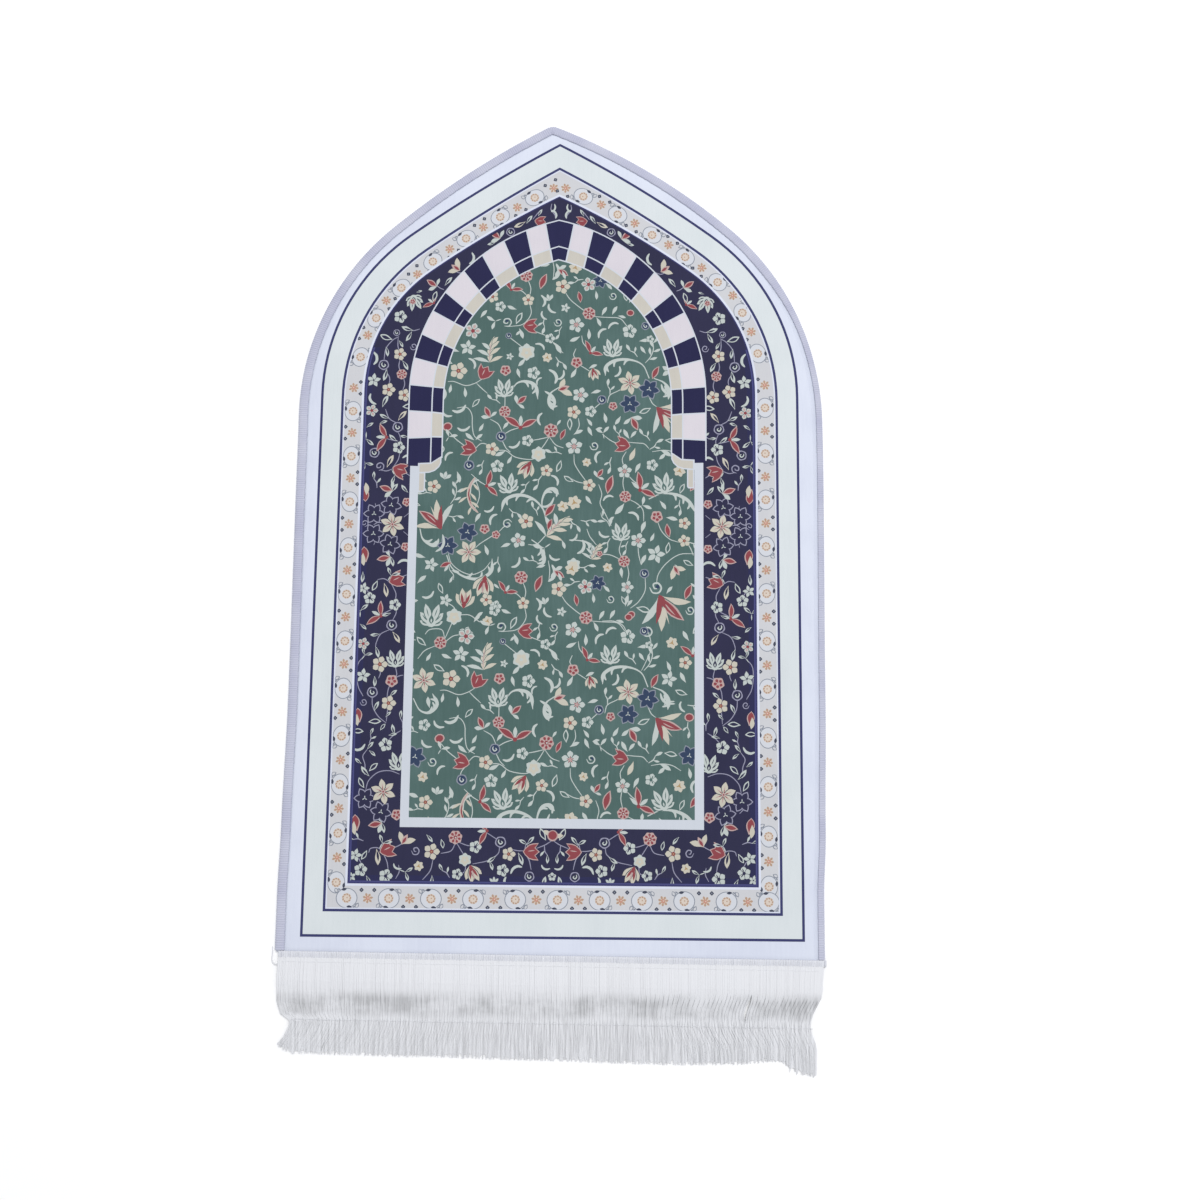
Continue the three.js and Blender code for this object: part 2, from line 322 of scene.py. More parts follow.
def curve(points, steps=5):
    """A smooth line through the points."""
    points = np.asarray(points, float)
    if len(points) == 2:
        return points
    ends = np.concatenate([[2 * points[0] - points[1]], points, [2 * points[-1] - points[-2]]])
    line = []
    for a, b, c, d in zip(ends, ends[1:], ends[2:], ends[3:]):
        for t in np.linspace(0, 1, steps, endpoint=False):
            bend = 2 * a - 5 * b + 4 * c - d
            twist = 3 * b - a - 3 * c + d
            line.append(0.5 * (2 * b + (c - a) * t + bend * t * t + twist * t**3))
    return np.array([*line, points[-1]])


def stroke(line, half):
    """The outline of a line drawn with a given half width at each of its points."""
    along = np.gradient(line, axis=0)
    along /= np.linalg.norm(along, axis=1)[:, None]
    side = np.stack([-along[:, 1], along[:, 0]], 1) * half[:, None]
    return np.concatenate([line + side, (line - side)[::-1]])


def ribbon(points, width, ends=0.35, steps=5):
    """A stem of a given width through the points, drawn in at its ends."""
    line = curve(points, steps)
    share = np.linspace(0, 1, len(line))
    return stroke(line, width / 2 * (ends + (1 - ends) * np.sin(math.pi * share) ** 0.4))


def edged(draw, ground, ink, outline, rim=0.8):
    """A petal with a thin rim of the ground's colour, so that it stands apart from its
    neighbours."""
    points = np.asarray(outline, float)
    along = np.roll(points, -1, axis=0) - np.roll(points, 1, axis=0)
    along /= np.linalg.norm(along, axis=1)[:, None] + 1e-9
    draw(ground, points + rim * np.stack([along[:, 1], -along[:, 0]], 1))
    draw(ink, points)


def veined(draw, ground, long, wide, turn=90.0, bend=0.0, at=(0, 0), ink="pale"):
    """A leaf. On the dark border only its rim is printed."""
    draw(ink, petal(long, wide, turn=turn, belly=0.6, bend=bend) + np.array(at))
    if ground == "border":
        hollow = petal(long * 0.66, wide * 0.42, turn, long * 0.12, bend=bend * 0.66, steps=4)
        draw(ground, hollow + np.array(at))


def swash(draw, points):
    """A scroll: thin from its root, thickest near its curled end, with commas on its inside."""
    line = curve(points, 6)
    share = np.linspace(0, 1, len(line))
    half = 2.1 * (0.3 + 0.7 * smooth(share, 0.1, 0.7)) * (1 - 0.85 * smooth(share, 0.86, 1))
    draw("pale", stroke(line, half))
    hub = line.mean(axis=0)
    for k in range(3):
        row = int(len(line) * (0.4 + 0.16 * k))
        ahead = line[row + 1] - line[row]
        ahead /= np.linalg.norm(ahead)
        inward = (hub - line[row]) - ahead * ((hub - line[row]) @ ahead)
        inward /= np.linalg.norm(inward) + 1e-9
        tine = [line[row], line[row] + 5 * ahead + 2.4 * inward, line[row] + 7 * ahead + 8 * inward]
        draw("pale", ribbon(tine, 2.7, ends=0.12))


# The flowers and leaves of the print. Each grows toward +Y and is drawn at its real size.
def rosette(draw, ground):
    draw("rose", disc(7.9, lobes=7, depth=0.07))
    for k in range(7):
        draw("red", petal(4.6, 3.2, turn=51.4 * k + 20, root=2.4, belly=0.62, steps=4))
    draw("red", disc(2.3, steps=8))
    draw("pale", disc(1.1, (0.4, 0.3), steps=5))


def bud_rose(draw, ground):
    draw("rose", disc(6.3, lobes=5, depth=0.09))
    for k in range(5):
        draw("red", petal(4.4, 3.6, turn=72 * k + 10, root=0.7, belly=0.62, steps=4))
    draw("rose", ribbon([(-1.8, -1.2), (0.2, -1.8), (1.6, 0), (0.4, 1.6)], 0.8, steps=3))


def petals_round(draw, ground, ink, heart, long, wide):
    """Five rimmed petals about a round heart."""
    for k in range(5):
        edged(draw, ground, ink, petal(long, wide, turn=90 + 72 * k, root=0.4, belly=0.62, steps=5), 0.6)
    draw(heart, disc(long * 0.26, steps=8))


def cream_flower(draw, ground):
    petals_round(draw, ground, "cream", "red", 9.6, 7.6)
    draw("gold", disc(1.1, steps=5))


def white_flower(draw, ground):
    petals_round(draw, ground, "pale", "rose", 10, 7.2)
    for k in range(5):
        draw("red", petal(3.8, 1.1, turn=90 + 72 * k, root=0.8, steps=3))


def dark_eye(draw, ground):
    petals_round(draw, ground, "pale", ground, 8.2, 7.0)
    for turn in (30, 150):
        draw(ground, petal(5.6, 1.5, turn=turn, root=1.0, steps=3))


def gold_flower(draw, ground):
    for k in range(6):
        draw("cream", petal(6.6, 4.6, turn=60 * k + 15, belly=0.6, steps=5))
    for k in range(3):
        draw("gold", petal(3.2, 1.2, turn=120 * k + 45, steps=3))
    draw("gold", disc(1.3, steps=6))


def pink_flower(draw, ground):
    petals_round(draw, ground, "pale", "red", 9.2, 7.0)
    for k in range(5):
        draw("rose", petal(5.4, 3.4, turn=90 + 72 * k, root=2.6, steps=4))


def star(draw, ground):
    for k in range(6):
        edged(draw, ground, "cream", petal(15.5, 7.8, turn=60 * k + 10, belly=0.54))
    for k in range(6):
        draw("rose", petal(9.6, 1.5, turn=60 * k + 10, root=1.2, steps=3))
        draw("red", petal(5.4, 1.2, turn=60 * k + 10, root=1.2, steps=3))
    draw("rose", disc(2.4, steps=8))
    draw("red", disc(1.1, steps=6))


def dusk_star(draw, ground):
    """A dark star with a thin pale edge."""
    fill, edge = ("dusk", "scroll_grey") if ground == "field" else (ground, "stem")
    for k in range(6):
        draw(edge, petal(14.2, 9.2, turn=60 * k + 20, belly=0.54))
    for k in range(6):
        draw(fill, petal(12.4, 7.2, turn=60 * k + 20, root=0.2, belly=0.54))
    for k in range(3):
        draw("pale", petal(3.6, 1.3, turn=120 * k + 50, steps=3))


def cup_outline(grow=0.0):
    """A tulip's cup: pointed at its stem, with three points at its wide lip."""
    half = [(0, -grow), (3.0 + grow * 0.7, 1.8 - grow * 0.5), (7.2 + grow, 6.4), (8.6 + grow, 11.0)]
    half += [(9.0 + grow, 16.4 + grow), (4.4, 12.6 + grow), (0, 17.4 + grow * 1.3)]
    return half + [(-x, y) for x, y in half[-2:0:-1]]


def tulip(draw, ground):
    draw("rose", cup_outline(1.2))
    draw("red", cup_outline())
    draw("rose", petal(9, 1.4, turn=97, root=4.5, steps=3))


def small_tulip(draw, ground):
    draw("pale", petal(10.5, 4.6, turn=144, belly=0.6))
    draw("pale", petal(10, 3.6, turn=24, belly=0.62, bend=0.2))
    draw("rose", petal(14.5, 6.6, turn=86, belly=0.5))
    draw("red", petal(11.4, 4.2, turn=86, root=1.6, belly=0.5))


def ring_bud(draw, ground):
    fill, edge = ("dusk", "scroll_grey") if ground == "field" else (ground, "stem")
    draw(edge, disc(6.6, steps=16, lobes=5, depth=0.04))
    draw(fill, disc(5.2, steps=14))
    draw("pale", ribbon([(-3.2, -1.8), (-0.4, -2.6), (2.4, -0.4), (0.6, 2.2), (-1.4, 0.6)], 1.5, steps=3))


def curl_bud(draw, ground):
    fill, edge = ("dusk", "pale") if ground == "field" else (ground, "stem")
    curl = [(0, -5), (5, -2), (5, 3.6), (0.4, 6), (-4, 3), (-3, -1.4), (1, -0.4), (1, 2.4)]
    draw(edge, ribbon(curl, 1.6))
    draw(fill, disc(1.9, (-0.6, 2.6), steps=7))


def palmette(draw, ground):
    """Three pairs of leaves that fan from a round heart."""
    for low_turn, long, wide in ((24, 12, 4.6), (50, 17, 6), (73, 22, 6.4)):
        for turn in (low_turn, 180 - low_turn):
            edged(draw, ground, "pale", petal(long, wide, turn=turn, belly=0.6))
            draw(ground, petal(long * 0.4, 0.9, turn=turn, root=long * 0.42, steps=3))
    draw("pale", disc(4.6, (0, 3.6), steps=9))
    draw(ground, petal(8.8, 4.6, root=2.2, belly=0.42))
    draw("pale", petal(4.4, 1.6, root=3.0, belly=0.5, steps=4))


def acanthus(draw, ground):
    """A plume of pointed leaves that fan from one rib."""
    edged(draw, ground, "cream", petal(31, 7, turn=88, belly=0.42, bend=0.2))
    right = [(0, 36, 16), (8, 48, 15), (15, 56, 14), (21, 62, 11)]
    left = [(0, 146, 19), (7, 132, 16), (14, 118, 13)]
    for ink, bend, leaves in (("cream", 0.26, right), ("pale", -0.28, left)):
        for root, turn, long in leaves:
            tip = petal(long, 4.4, turn=turn, belly=0.55, bend=bend) + np.array([root**2 / 110, root])
            edged(draw, ground, ink, tip, 0.6)
    draw("rose", ribbon([(0, 2), (0.8, 12), (3, 22)], 1.2))


def frond(draw, ground):
    """A curved spray of narrow leaves along one rose-coloured rib."""
    rib = [(0, 0), (4, 10), (4.4, 21), (-0.5, 32), (-10, 40)]
    draw("cream", ribbon(rib, 3.6, ends=0.2))
    draw("rose", ribbon(rib, 2.2, ends=0.25))
    draw("red", ribbon([(4.2, 14), (3.8, 22), (-0.6, 31)], 1.5, ends=0.2))
    right = [(4, 12, 22, 13), (4.2, 23, 28, 13), (-2, 33, 60, 11)]
    left = [(2.5, 7, 150, 11), (4.4, 18, 152, 13), (2, 28, 165, 13)]
    for x, y, turn, long in sorted(right + left, key=lambda tip: tip[1]):
        bend = -0.28 if turn < 90 else 0.22
        draw("cream", petal(long, 2.9, turn=turn, belly=0.6, bend=bend) + np.array([x, y]))


def branch(draw, ground):
    """A leafy stem that curves to one side."""
    draw("pale", ribbon([(0, 0), (2.4, 11), (0.6, 23), (-6, 33)], 1.3, ends=0.6))
    right = [(1.8, 7, 28, 12), (1.4, 19, 36, 12), (-4, 30, 66, 12)]
    left = [(2.2, 13, 140, 12), (-1, 25, 150, 11)]
    for x, y, turn, long in sorted(right + left, key=lambda tip: tip[1]):
        bend = -0.24 if turn < 90 else 0.24
        veined(draw, ground, long, 3.8, turn, bend, (x, y))


def lily(draw, ground):
    """A trumpet lily seen from its side: its petals open outward from a narrow throat."""
    edged(draw, ground, "pale", petal(25, 5.4, turn=58, belly=0.62, bend=0.42))
    edged(draw, ground, "cream", petal(24, 5.4, turn=120, belly=0.62, bend=-0.42))
    edged(draw, ground, "cream", petal(29, 6.6, turn=78, belly=0.6, bend=0.16))
    edged(draw, ground, "rose", petal(28, 8.4, turn=98, belly=0.56, bend=-0.2))
    draw("red", petal(25.4, 5.8, turn=98, root=1, belly=0.54, bend=-0.19))
    draw("red", petal(23, 4.4, turn=72, belly=0.45, bend=0.22))
    draw("cream", petal(20, 1.6, turn=86, root=5, belly=0.5, bend=0.04))
    draw("rose", petal(14, 1.2, turn=99, root=7, belly=0.5, bend=-0.12))
    draw("red", petal(12, 5.4, belly=0.42))


def striped_cup(draw, ground):
    for turn, long in ((56, 18), (124, 18), (78, 22), (102, 22)):
        edged(draw, ground, "cream", petal(long, 6.8, turn=turn, belly=0.6))
    for turn in (74, 106):
        draw("red", petal(14, 3.0, turn=turn, root=3))
    draw("rose", petal(16, 2.2, root=3))
    draw("red", petal(8, 4.4))


def red_leaf(draw, ground):
    draw("rose", petal(17, 7.0, belly=0.5, bend=0.16))
    draw("red", petal(14.4, 4.8, root=1.3, belly=0.5, bend=0.15))


def red_fork(draw, ground):
    """Two red leaves in a wide V like a swallow's wings, with a pale bud between them."""
    draw("pale", petal(12, 3.8, turn=84, belly=0.6))
    draw("rose", petal(19, 6.8, turn=130, belly=0.5, bend=-0.2))
    draw("rose", petal(17, 6.4, turn=34, belly=0.5, bend=0.2))
    draw("red", petal(16.6, 4.7, turn=130, root=1.0, belly=0.5, bend=-0.19))
    draw("red", petal(14.6, 4.2, turn=34, root=1.0, belly=0.5, bend=0.19))
    draw("red", disc(2.0, (0, 0.4), steps=7))


def leaf(draw, ground):
    veined(draw, ground, 13.2, 4.5, bend=0.16)


def cream_leaf(draw, ground):
    veined(draw, ground, 15, 5.2, bend=0.14, ink="cream")


def slit_leaf(draw, ground):
    draw("pale", petal(14.5, 6.0, belly=0.55, bend=0.12))
    draw(ground, petal(10.6, 3.6, root=2.0, belly=0.55, bend=0.11))


def leaf_pair(draw, ground):
    veined(draw, ground, 12.6, 4.4, 48, 0.14)
    veined(draw, ground, 11.6, 4.2, 132, -0.14)
    draw("pale", petal(8, 1.4, turn=270, steps=4))


def crescent(draw, ground):
    draw("pale", ribbon([(0, 0), (3.6, 4), (3.8, 9.6), (0.4, 14.5)], 2.9, ends=0.05))


def sickle(draw, ground):
    draw("pale", ribbon([(0, 0), (6.4, 7), (7.4, 16), (2.5, 26)], 3.8, ends=0.05))


def sprig(draw, ground):
    draw("pale", ribbon([(0, 0), (1.5, 8), (-1, 16), (1, 23)], 1.2))
    veined(draw, ground, 12, 3.9, 48, 0.15)
    veined(draw, ground, 12, 3.7, 138, -0.15, (0, 9))
    veined(draw, ground, 11, 3.5, 52, 0.1, (0, 17))


def sprout(draw, ground):
    """A short stem with a leaf at its end and one at its side."""
    ink = "pale" if ground == "field" else "stem"
    draw(ink, ribbon([(0, -9), (1.8, -3), (0.6, 2)], 1.1, ends=0.6, steps=4))
    veined(draw, ground, 9.5, 3.5, 78, 0.16, (0.6, 1))
    draw("pale", petal(7.5, 2.4, turn=20, belly=0.6, bend=-0.16) + np.array([1.6, -3.6]))


def trefoil(draw, ground):
    for turn in (46, 90, 134):
        draw("pale", petal(9.4, 3.9, turn=turn, belly=0.62))


def poppy(draw, ground):
    draw("pale", disc(8.4, lobes=6, depth=0.13))
    draw("cream", disc(5.6, (0.8, 0), lobes=5, depth=0.16))
    draw("pale", disc(1.8, (0.8, 0), steps=7))


def trumpet(draw, ground):
    draw("cream", petal(17, 7.0, turn=66, belly=0.6, bend=0.3))
    draw("cream", petal(15, 6.2, turn=116, belly=0.6, bend=-0.3))
    draw("rose", petal(14, 6, turn=90, belly=0.5))
    draw("red", petal(9.5, 3.2, turn=88, root=1, belly=0.5))


def half_tulip(draw, ground):
    draw("rose", petal(20, 10.5, turn=94, belly=0.45, bend=-0.1))
    draw("red", petal(17, 8, turn=94, root=1.2, belly=0.42, bend=-0.08))
    draw("cream", petal(16, 6.4, turn=84, root=8, belly=0.55, bend=-0.2))


def white_star(draw, ground):
    for k in range(5):
        edged(draw, ground, "pale", petal(10.4, 5.6, turn=72 * k + 20, belly=0.48), 0.6)
    draw(ground, disc(1.4, steps=5))


def red_bud(draw, ground):
    draw("rose", disc(5.8, steps=10, tall=1.15))
    draw("red", disc(4.3, steps=10, tall=1.15))


MOTIF_DRAWINGS = [
    *(rosette, bud_rose, cream_flower, white_flower, dark_eye, gold_flower, pink_flower),
    *(star, dusk_star, tulip, small_tulip, ring_bud, curl_bud, palmette, acanthus, lily),
    *(striped_cup, red_leaf, red_fork, leaf, cream_leaf, slit_leaf, leaf_pair, crescent),
    *(sickle, sprig, sprout, frond, branch, trefoil, poppy, trumpet, half_tulip),
    *(white_star, red_bud),
]
MOTIFS = {drawing.__name__.replace("_", " "): drawing for drawing in MOTIF_DRAWINGS}
Spot = namedtuple("Spot", "motif x y turn size")

# The niche's repeat, listed one by one: it comes again every 386 mm down the field.
FIELD_REPEAT = 386
FIELD_SPOTS = [
    Spot("leaf", -26, 829, 25, 0.9),
    Spot("crescent", -11, 812, 80, 1.5),
    Spot("small tulip", -4, 826, 330, 1.1),
    Spot("leaf", 1, 824, 300, 0.9),
    Spot("gold flower", 18, 828, 0, 1.3),
    Spot("rosette", -44, 817, 0, 1.0),
    Spot("red fork", -63, 798, 70, 0.9),
    Spot("leaf", -70, 803, 150, 0.7),
    Spot("cream flower", -41, 785, 20, 0.8),
    Spot("red leaf", -26, 799, 78, 1.3),
    Spot("crescent", -23, 776, 100, 1.1),
    Spot("cream flower", 2, 803, 0, 1.0),
    Spot("red leaf", 22, 797, 290, 0.9),
    Spot("dusk star", 50, 811, 0, 0.75),
    Spot("pink flower", 35, 806, 30, 1.0),
    Spot("leaf", 56, 808, 325, 0.9),
    Spot("leaf", 44, 798, 285, 0.9),
    Spot("curl bud", 65, 791, 0, 0.8),
    Spot("slit leaf", 79, 795, 300, 0.8),
    Spot("leaf", 86, 782, 60, 0.8),
    Spot("trefoil", -14, 784, 110, 1.0),
    Spot("white star", 6, 775, 0, 0.62),
    Spot("rosette", 36, 768, 15, 1.0),
    Spot("leaf", 52, 765, 70, 1.0),
    Spot("leaf", 65, 766, 70, 1.0),
    Spot("leaf", 72, 765, 355, 0.8),
    Spot("leaf", 45, 763, 305, 1.0),
    Spot("dark eye", 87, 745, 10, 1.1),
    Spot("ring bud", 107, 752, 0, 0.8),
    Spot("red bud", 88, 769, 0, 0.75),
    Spot("leaf", 99, 732, 15, 1.0),
    Spot("dark eye", 113, 735, 0, 0.6),
    Spot("dark eye", -76, 776, 0, 0.85),
    Spot("cream flower", -86, 789, 40, 0.8),
    Spot("leaf", -101, 761, 60, 1.0),
    Spot("leaf pair", -82, 757, 200, 1.0),
    Spot("curl bud", -68, 755, 60, 1.0),
    Spot("slit leaf", -56, 753, 70, 1.2),
    Spot("tulip", -46, 751, 0, 0.95),
    Spot("leaf", -52, 748, 300, 1.1),
    Spot("leaf", -50, 746, 240, 0.7),
    Spot("dark eye", -13, 735, 0, 0.8),
    Spot("leaf", -8, 730, 312, 1.3),
    Spot("crescent", -23, 771, 300, 0.9),
    Spot("curl bud", -4, 756, 0, 0.85),
    Spot("white flower", 20, 753, 0, 1.0),
    Spot("leaf", 25, 738, 215, 1.1),
    Spot("red fork", 38, 716, 60, 0.95),
    Spot("palmette", 66, 712, 90, 1.1),
    Spot("bud rose", 21, 704, 0, 1.1),
    Spot("leaf", 21, 697, 250, 1.1),
    Spot("striped cup", 41, 697, 285, 0.75),
    Spot("leaf", 36, 696, 35, 0.9),
    Spot("star", 88, 678, 0, 1.0),
    Spot("dusk star", 112, 670, 0, 1.0),
    Spot("dusk star", 88, 651, 10, 0.95),
    Spot("red leaf", 116, 683, 72, 1.1),
    Spot("white star", 137, 694, 0, 1.0),
    Spot("sickle", 127, 677, 330, 0.85),
    Spot("sickle", 131, 675, 335, 0.6),
    Spot("ring bud", 53, 656, 0, 0.9),
    Spot("bud rose", 67, 648, 0, 0.85),
    Spot("dark eye", 39, 641, 0, 0.9),
    Spot("white flower", 26, 662, 0, 1.0),
    Spot("trumpet", -2, 668, 20, 1.1),
    Spot("sickle", -8, 643, 120, 1.0),
    Spot("leaf", 39, 664, 25, 1.0),
    Spot("crescent", -6, 676, 115, 1.4),
    Spot("crescent", -3, 682, 60, 1.0),
    Spot("dark eye", -33, 690, 0, 1.0),
    Spot("crescent", -22, 684, 240, 0.8),
    Spot("bud rose", -68, 693, 0, 1.05),
    Spot("tulip", -99, 682, 60, 1.0),
    Spot("acanthus", -88, 703, 95, 1.1),
    Spot("white star", -116, 722, 10, 1.0),
    Spot("pink flower", -110, 744, 0, 1.1),
    Spot("white star", -63, 711, 0, 0.5),
    Spot("poppy", -42, 717, 0, 1.2),
    Spot("leaf", -43, 710, 240, 1.1),
    Spot("gold flower", -16, 710, 0, 1.0),
    Spot("ring bud", -65, 738, 0, 0.6),
    Spot("cream flower", -127, 692, 0, 1.15),
    Spot("palmette", -69, 659, 92, 1.1),
    Spot("leaf", -119, 671, 285, 1.0),
    Spot("leaf", -136, 675, 270, 0.9),
    Spot("crescent", -134, 641, 25, 1.3),
    Spot("slit leaf", -109, 645, 55, 1.0),
    Spot("small tulip", -53, 650, 45, 1.1),
    Spot("rosette", -68, 640, 0, 0.9),
    Spot("small tulip", -86, 632, 120, 1.1),
    Spot("red fork", -48, 619, 95, 1.35),
    Spot("leaf", -94, 625, 250, 0.9),
    Spot("ring bud", -72, 608, 0, 1.0),
    Spot("leaf", -70, 617, 62, 0.9),
    Spot("rosette", -10, 616, 30, 1.1),
    Spot("red leaf", 2, 604, 75, 0.9),
    Spot("leaf", -3, 622, 65, 0.7),
    Spot("dark eye", -39, 603, 0, 0.9),
    Spot("white flower", 19, 596, 20, 1.05),
    Spot("cream flower", 18, 640, 0, 0.9),
    Spot("leaf", 18, 611, 35, 1.0),
    Spot("leaf", 34, 632, 315, 0.9),
    Spot("curl bud", 43, 597, 0, 0.9),
    Spot("leaf pair", 55, 613, 100, 0.9),
    Spot("leaf", 45, 618, 20, 0.7),
    Spot("tulip", 88, 597, 170, 1.0),
    Spot("leaf", 88, 606, 130, 1.1),
    Spot("leaf", 89, 607, 60, 0.9),
    Spot("cream leaf", 95, 595, 255, 1.2),
    Spot("small tulip", 90, 634, 300, 1.3),
    Spot("lily", 121, 647, 318, 1.25),
    Spot("red bud", -139, 620, 20, 0.95),
    Spot("leaf pair", -137, 607, 60, 0.9),
    Spot("tulip", -103, 590, 165, 1.0),
    Spot("leaf", -105, 603, 150, 1.1),
    Spot("leaf", -104, 603, 50, 0.9),
    Spot("cream flower", -83, 592, 0, 0.9),
    Spot("leaf", -66, 590, 215, 1.1),
    Spot("leaf", -58, 584, 250, 0.9),
    Spot("poppy", -25, 586, 0, 1.05),
    Spot("crescent", -131, 587, 230, 1.0),
    Spot("ring bud", -111, 571, 0, 1.0),
    Spot("red fork", -89, 545, 25, 1.1),
    Spot("dark eye", -76, 570, 20, 1.0),
    Spot("trefoil", -141, 553, 80, 1.1),
    Spot("cream flower", -154, 544, 0, 0.9),
    Spot("branch", -133, 522, 70, 0.85),
    Spot("sickle", -98, 553, 245, 0.8),
    Spot("frond", -103, 556, 262, 1.1),
    Spot("palmette", -60, 537, 102, 1.15),
    Spot("cream flower", -39, 501, 30, 1.0),
    Spot("striped cup", -34, 577, 238, 1.1),
    Spot("cream flower", -15, 565, 10, 0.8),
    Spot("sickle", -22, 520, 40, 0.8),
    Spot("red leaf", -16, 507, 60, 1.2),
    Spot("gold flower", 6, 520, 0, 1.1),
    Spot("gold flower", 20, 525, 30, 1.4),
    Spot("cream flower", 38, 547, 0, 0.85),
    Spot("slit leaf", 19, 551, 155, 1.0),
    Spot("gold flower", 35, 576, 0, 0.9),
    Spot("small tulip", 48, 557, 60, 0.9),
    Spot("red leaf", 61, 536, 84, 1.45),
    Spot("leaf", 42, 523, 135, 1.0),
    Spot("white flower", 82, 565, 15, 0.9),
    Spot("red fork", 101, 541, 45, 1.25),
    Spot("rosette", 83, 533, 0, 0.9),
    Spot("leaf", 82, 525, 240, 1.4),
    Spot("leaf pair", 104, 522, 30, 1.0),
    Spot("leaf", 90, 552, 325, 1.0),
    Spot("palmette", 133, 538, 105, 1.2),
    Spot("dark eye", 116, 573, 0, 0.9),
    Spot("gold flower", 150, 566, 0, 1.2),
    Spot("leaf", 126, 592, 340, 1.2),
    Spot("leaf", 134, 590, 235, 1.0),
    Spot("bud rose", 122, 508, 0, 1.15),
    Spot("sprig", 64, 495, 125, 0.9),
    Spot("leaf", 62, 500, 55, 0.8),
    Spot("palmette", 78, 478, 90, 1.05),
    Spot("white flower", 99, 478, 0, 0.95),
    Spot("leaf", 103, 487, 80, 1.2),
    Spot("red leaf", 138, 482, 110, 1.05),
    Spot("cream flower", 156, 500, 0, 0.8),
    Spot("cream flower", 156, 478, 30, 0.8),
    Spot("leaf", 119, 488, 255, 0.9),
    Spot("dusk star", -111, 487, 0, 0.95),
    Spot("dusk star", -135, 470, 10, 0.95),
    Spot("star", -109, 462, 20, 1.0),
    Spot("lily", -143, 490, 122, 1.3),
    Spot("sickle", -150, 462, 75, 0.9),
    Spot("bud rose", -90, 491, 0, 0.95),
    Spot("bud rose", -76, 484, 20, 0.8),
    Spot("curl bud", -61, 498, 200, 0.95),
    Spot("white flower", -48, 477, 30, 0.95),
    Spot("acanthus", -14, 482, 55, 1.25),
    Spot("red leaf", -12, 490, 80, 0.9),
    Spot("leaf", -70, 468, 30, 1.0),
    Spot("leaf pair", -16, 468, 215, 1.2),
    Spot("leaf", 5, 478, 300, 0.9),
    Spot("crescent", 14, 478, 40, 0.9),
    Spot("crescent", 24, 461, 70, 1.3),
    Spot("poppy", 20, 447, 0, 0.95),
    Spot("acanthus", 42, 454, 75, 0.75),
    Spot("bud rose", 52, 461, 0, 0.6),
    Spot("rosette", 82, 452, 0, 0.9),
    Spot("white star", 121, 461, 0, 1.15),
    Spot("leaf", 103, 447, 75, 1.1),
    Spot("leaf", 80, 431, 105, 1.0),
    Spot("gold flower", 62, 444, 0, 0.95),
    Spot("ring bud", 107, 437, 0, 0.9),
    Spot("white flower", 86, 420, 0, 0.8),
    Spot("curl bud", 120, 420, 0, 1.3),
    Spot("lily", 125, 411, 295, 1.55),
    Spot("trumpet", 143, 447, 300, 1.0),
    Spot("red leaf", 157, 405, 75, 1.2),
    Spot("leaf", 134, 412, 60, 0.9),
    Spot("curl bud", 162, 392, 0, 0.9),
    Spot("leaf", 84, 396, 85, 1.1),
    Spot("slit leaf", 97, 395, 350, 1.3),
    Spot("red bud", 91, 386, 30, 0.8),
    Spot("curl bud", 110, 366, 0, 1.1),
    Spot("white star", -155, 446, 0, 0.9),
    Spot("red leaf", -144, 443, 30, 0.9),
    Spot("sprig", -133, 447, 290, 0.9),
    Spot("striped cup", -88, 433, 262, 1.25),
    Spot("white star", -136, 402, 0, 0.8),
    Spot("striped cup", -114, 392, 82, 1.15),
    Spot("dark eye", -75, 395, 0, 0.9),
    Spot("palmette", -153, 370, 88, 1.3),
    Spot("poppy", -125, 382, 0, 1.1),
    Spot("leaf", -99, 380, 50, 0.9),
    Spot("gold flower", -84, 377, 0, 1.0),
    Spot("rosette", -141, 350, 0, 0.95),
    Spot("pink flower", -110, 361, 0, 0.95),
    Spot("leaf", -152, 338, 250, 0.9),
    Spot("star", -160, 690, 0, 1.0),
    Spot("dark eye", -158, 636, 0, 0.9),
    Spot("dusk star", -168, 598, 0, 1.0),
    Spot("curl bud", -148, 592, 0, 0.9),
    Spot("gold flower", -158, 574, 0, 1.0),
    Spot("red bud", 162, 648, 0, 0.9),
    Spot("cream flower", 157, 714, 0, 0.85),
    Spot("red fork", 166, 722, 90, 1.0),
    Spot("dusk star", 162, 602, 0, 0.95),
    Spot("red leaf", 163, 540, 60, 1.2),
    Spot("gold flower", 141, 738, 0, 1.15),
    Spot("branch", 107, 704, 62, 0.9),
    Spot("leaf", 108, 716, 135, 0.9),
]
# The big scrolls among them, each from its root to its curled end.
FIELD_SCROLLS = [
    [(112, 684), (104, 701), (88, 708), (70, 707), (58, 699), (57, 687)],
    [(118, 684), (130, 679), (137, 669), (136, 657)],
    [(-62, 662), (-54, 676), (-42, 679), (-30, 673), (-27, 656)],
    [(0, 672), (-11, 664), (-13, 652), (-7, 642)],
    [(-12, 492), (-16, 512), (-29, 528), (-48, 534), (-65, 528), (-70, 513)],
    [(112, 530), (128, 537), (146, 536), (161, 528), (170, 513)],
    [(-136, 458), (-129, 442), (-113, 431), (-95, 429), (-81, 438), (-80, 454)],
    [(-172, 668), (-164, 654), (-152, 651), (-143, 661), (-149, 674)],
    [(-15, 506), (-20, 524), (-15, 539), (-5, 542), (1, 535)],
    [(20, 478), (34, 476), (44, 468), (46, 454)],
    [(-32, 478), (-22, 470), (-16, 456), (-18, 446)],
    [(-170, 492), (-166, 478), (-154, 470), (-146, 472)],
]
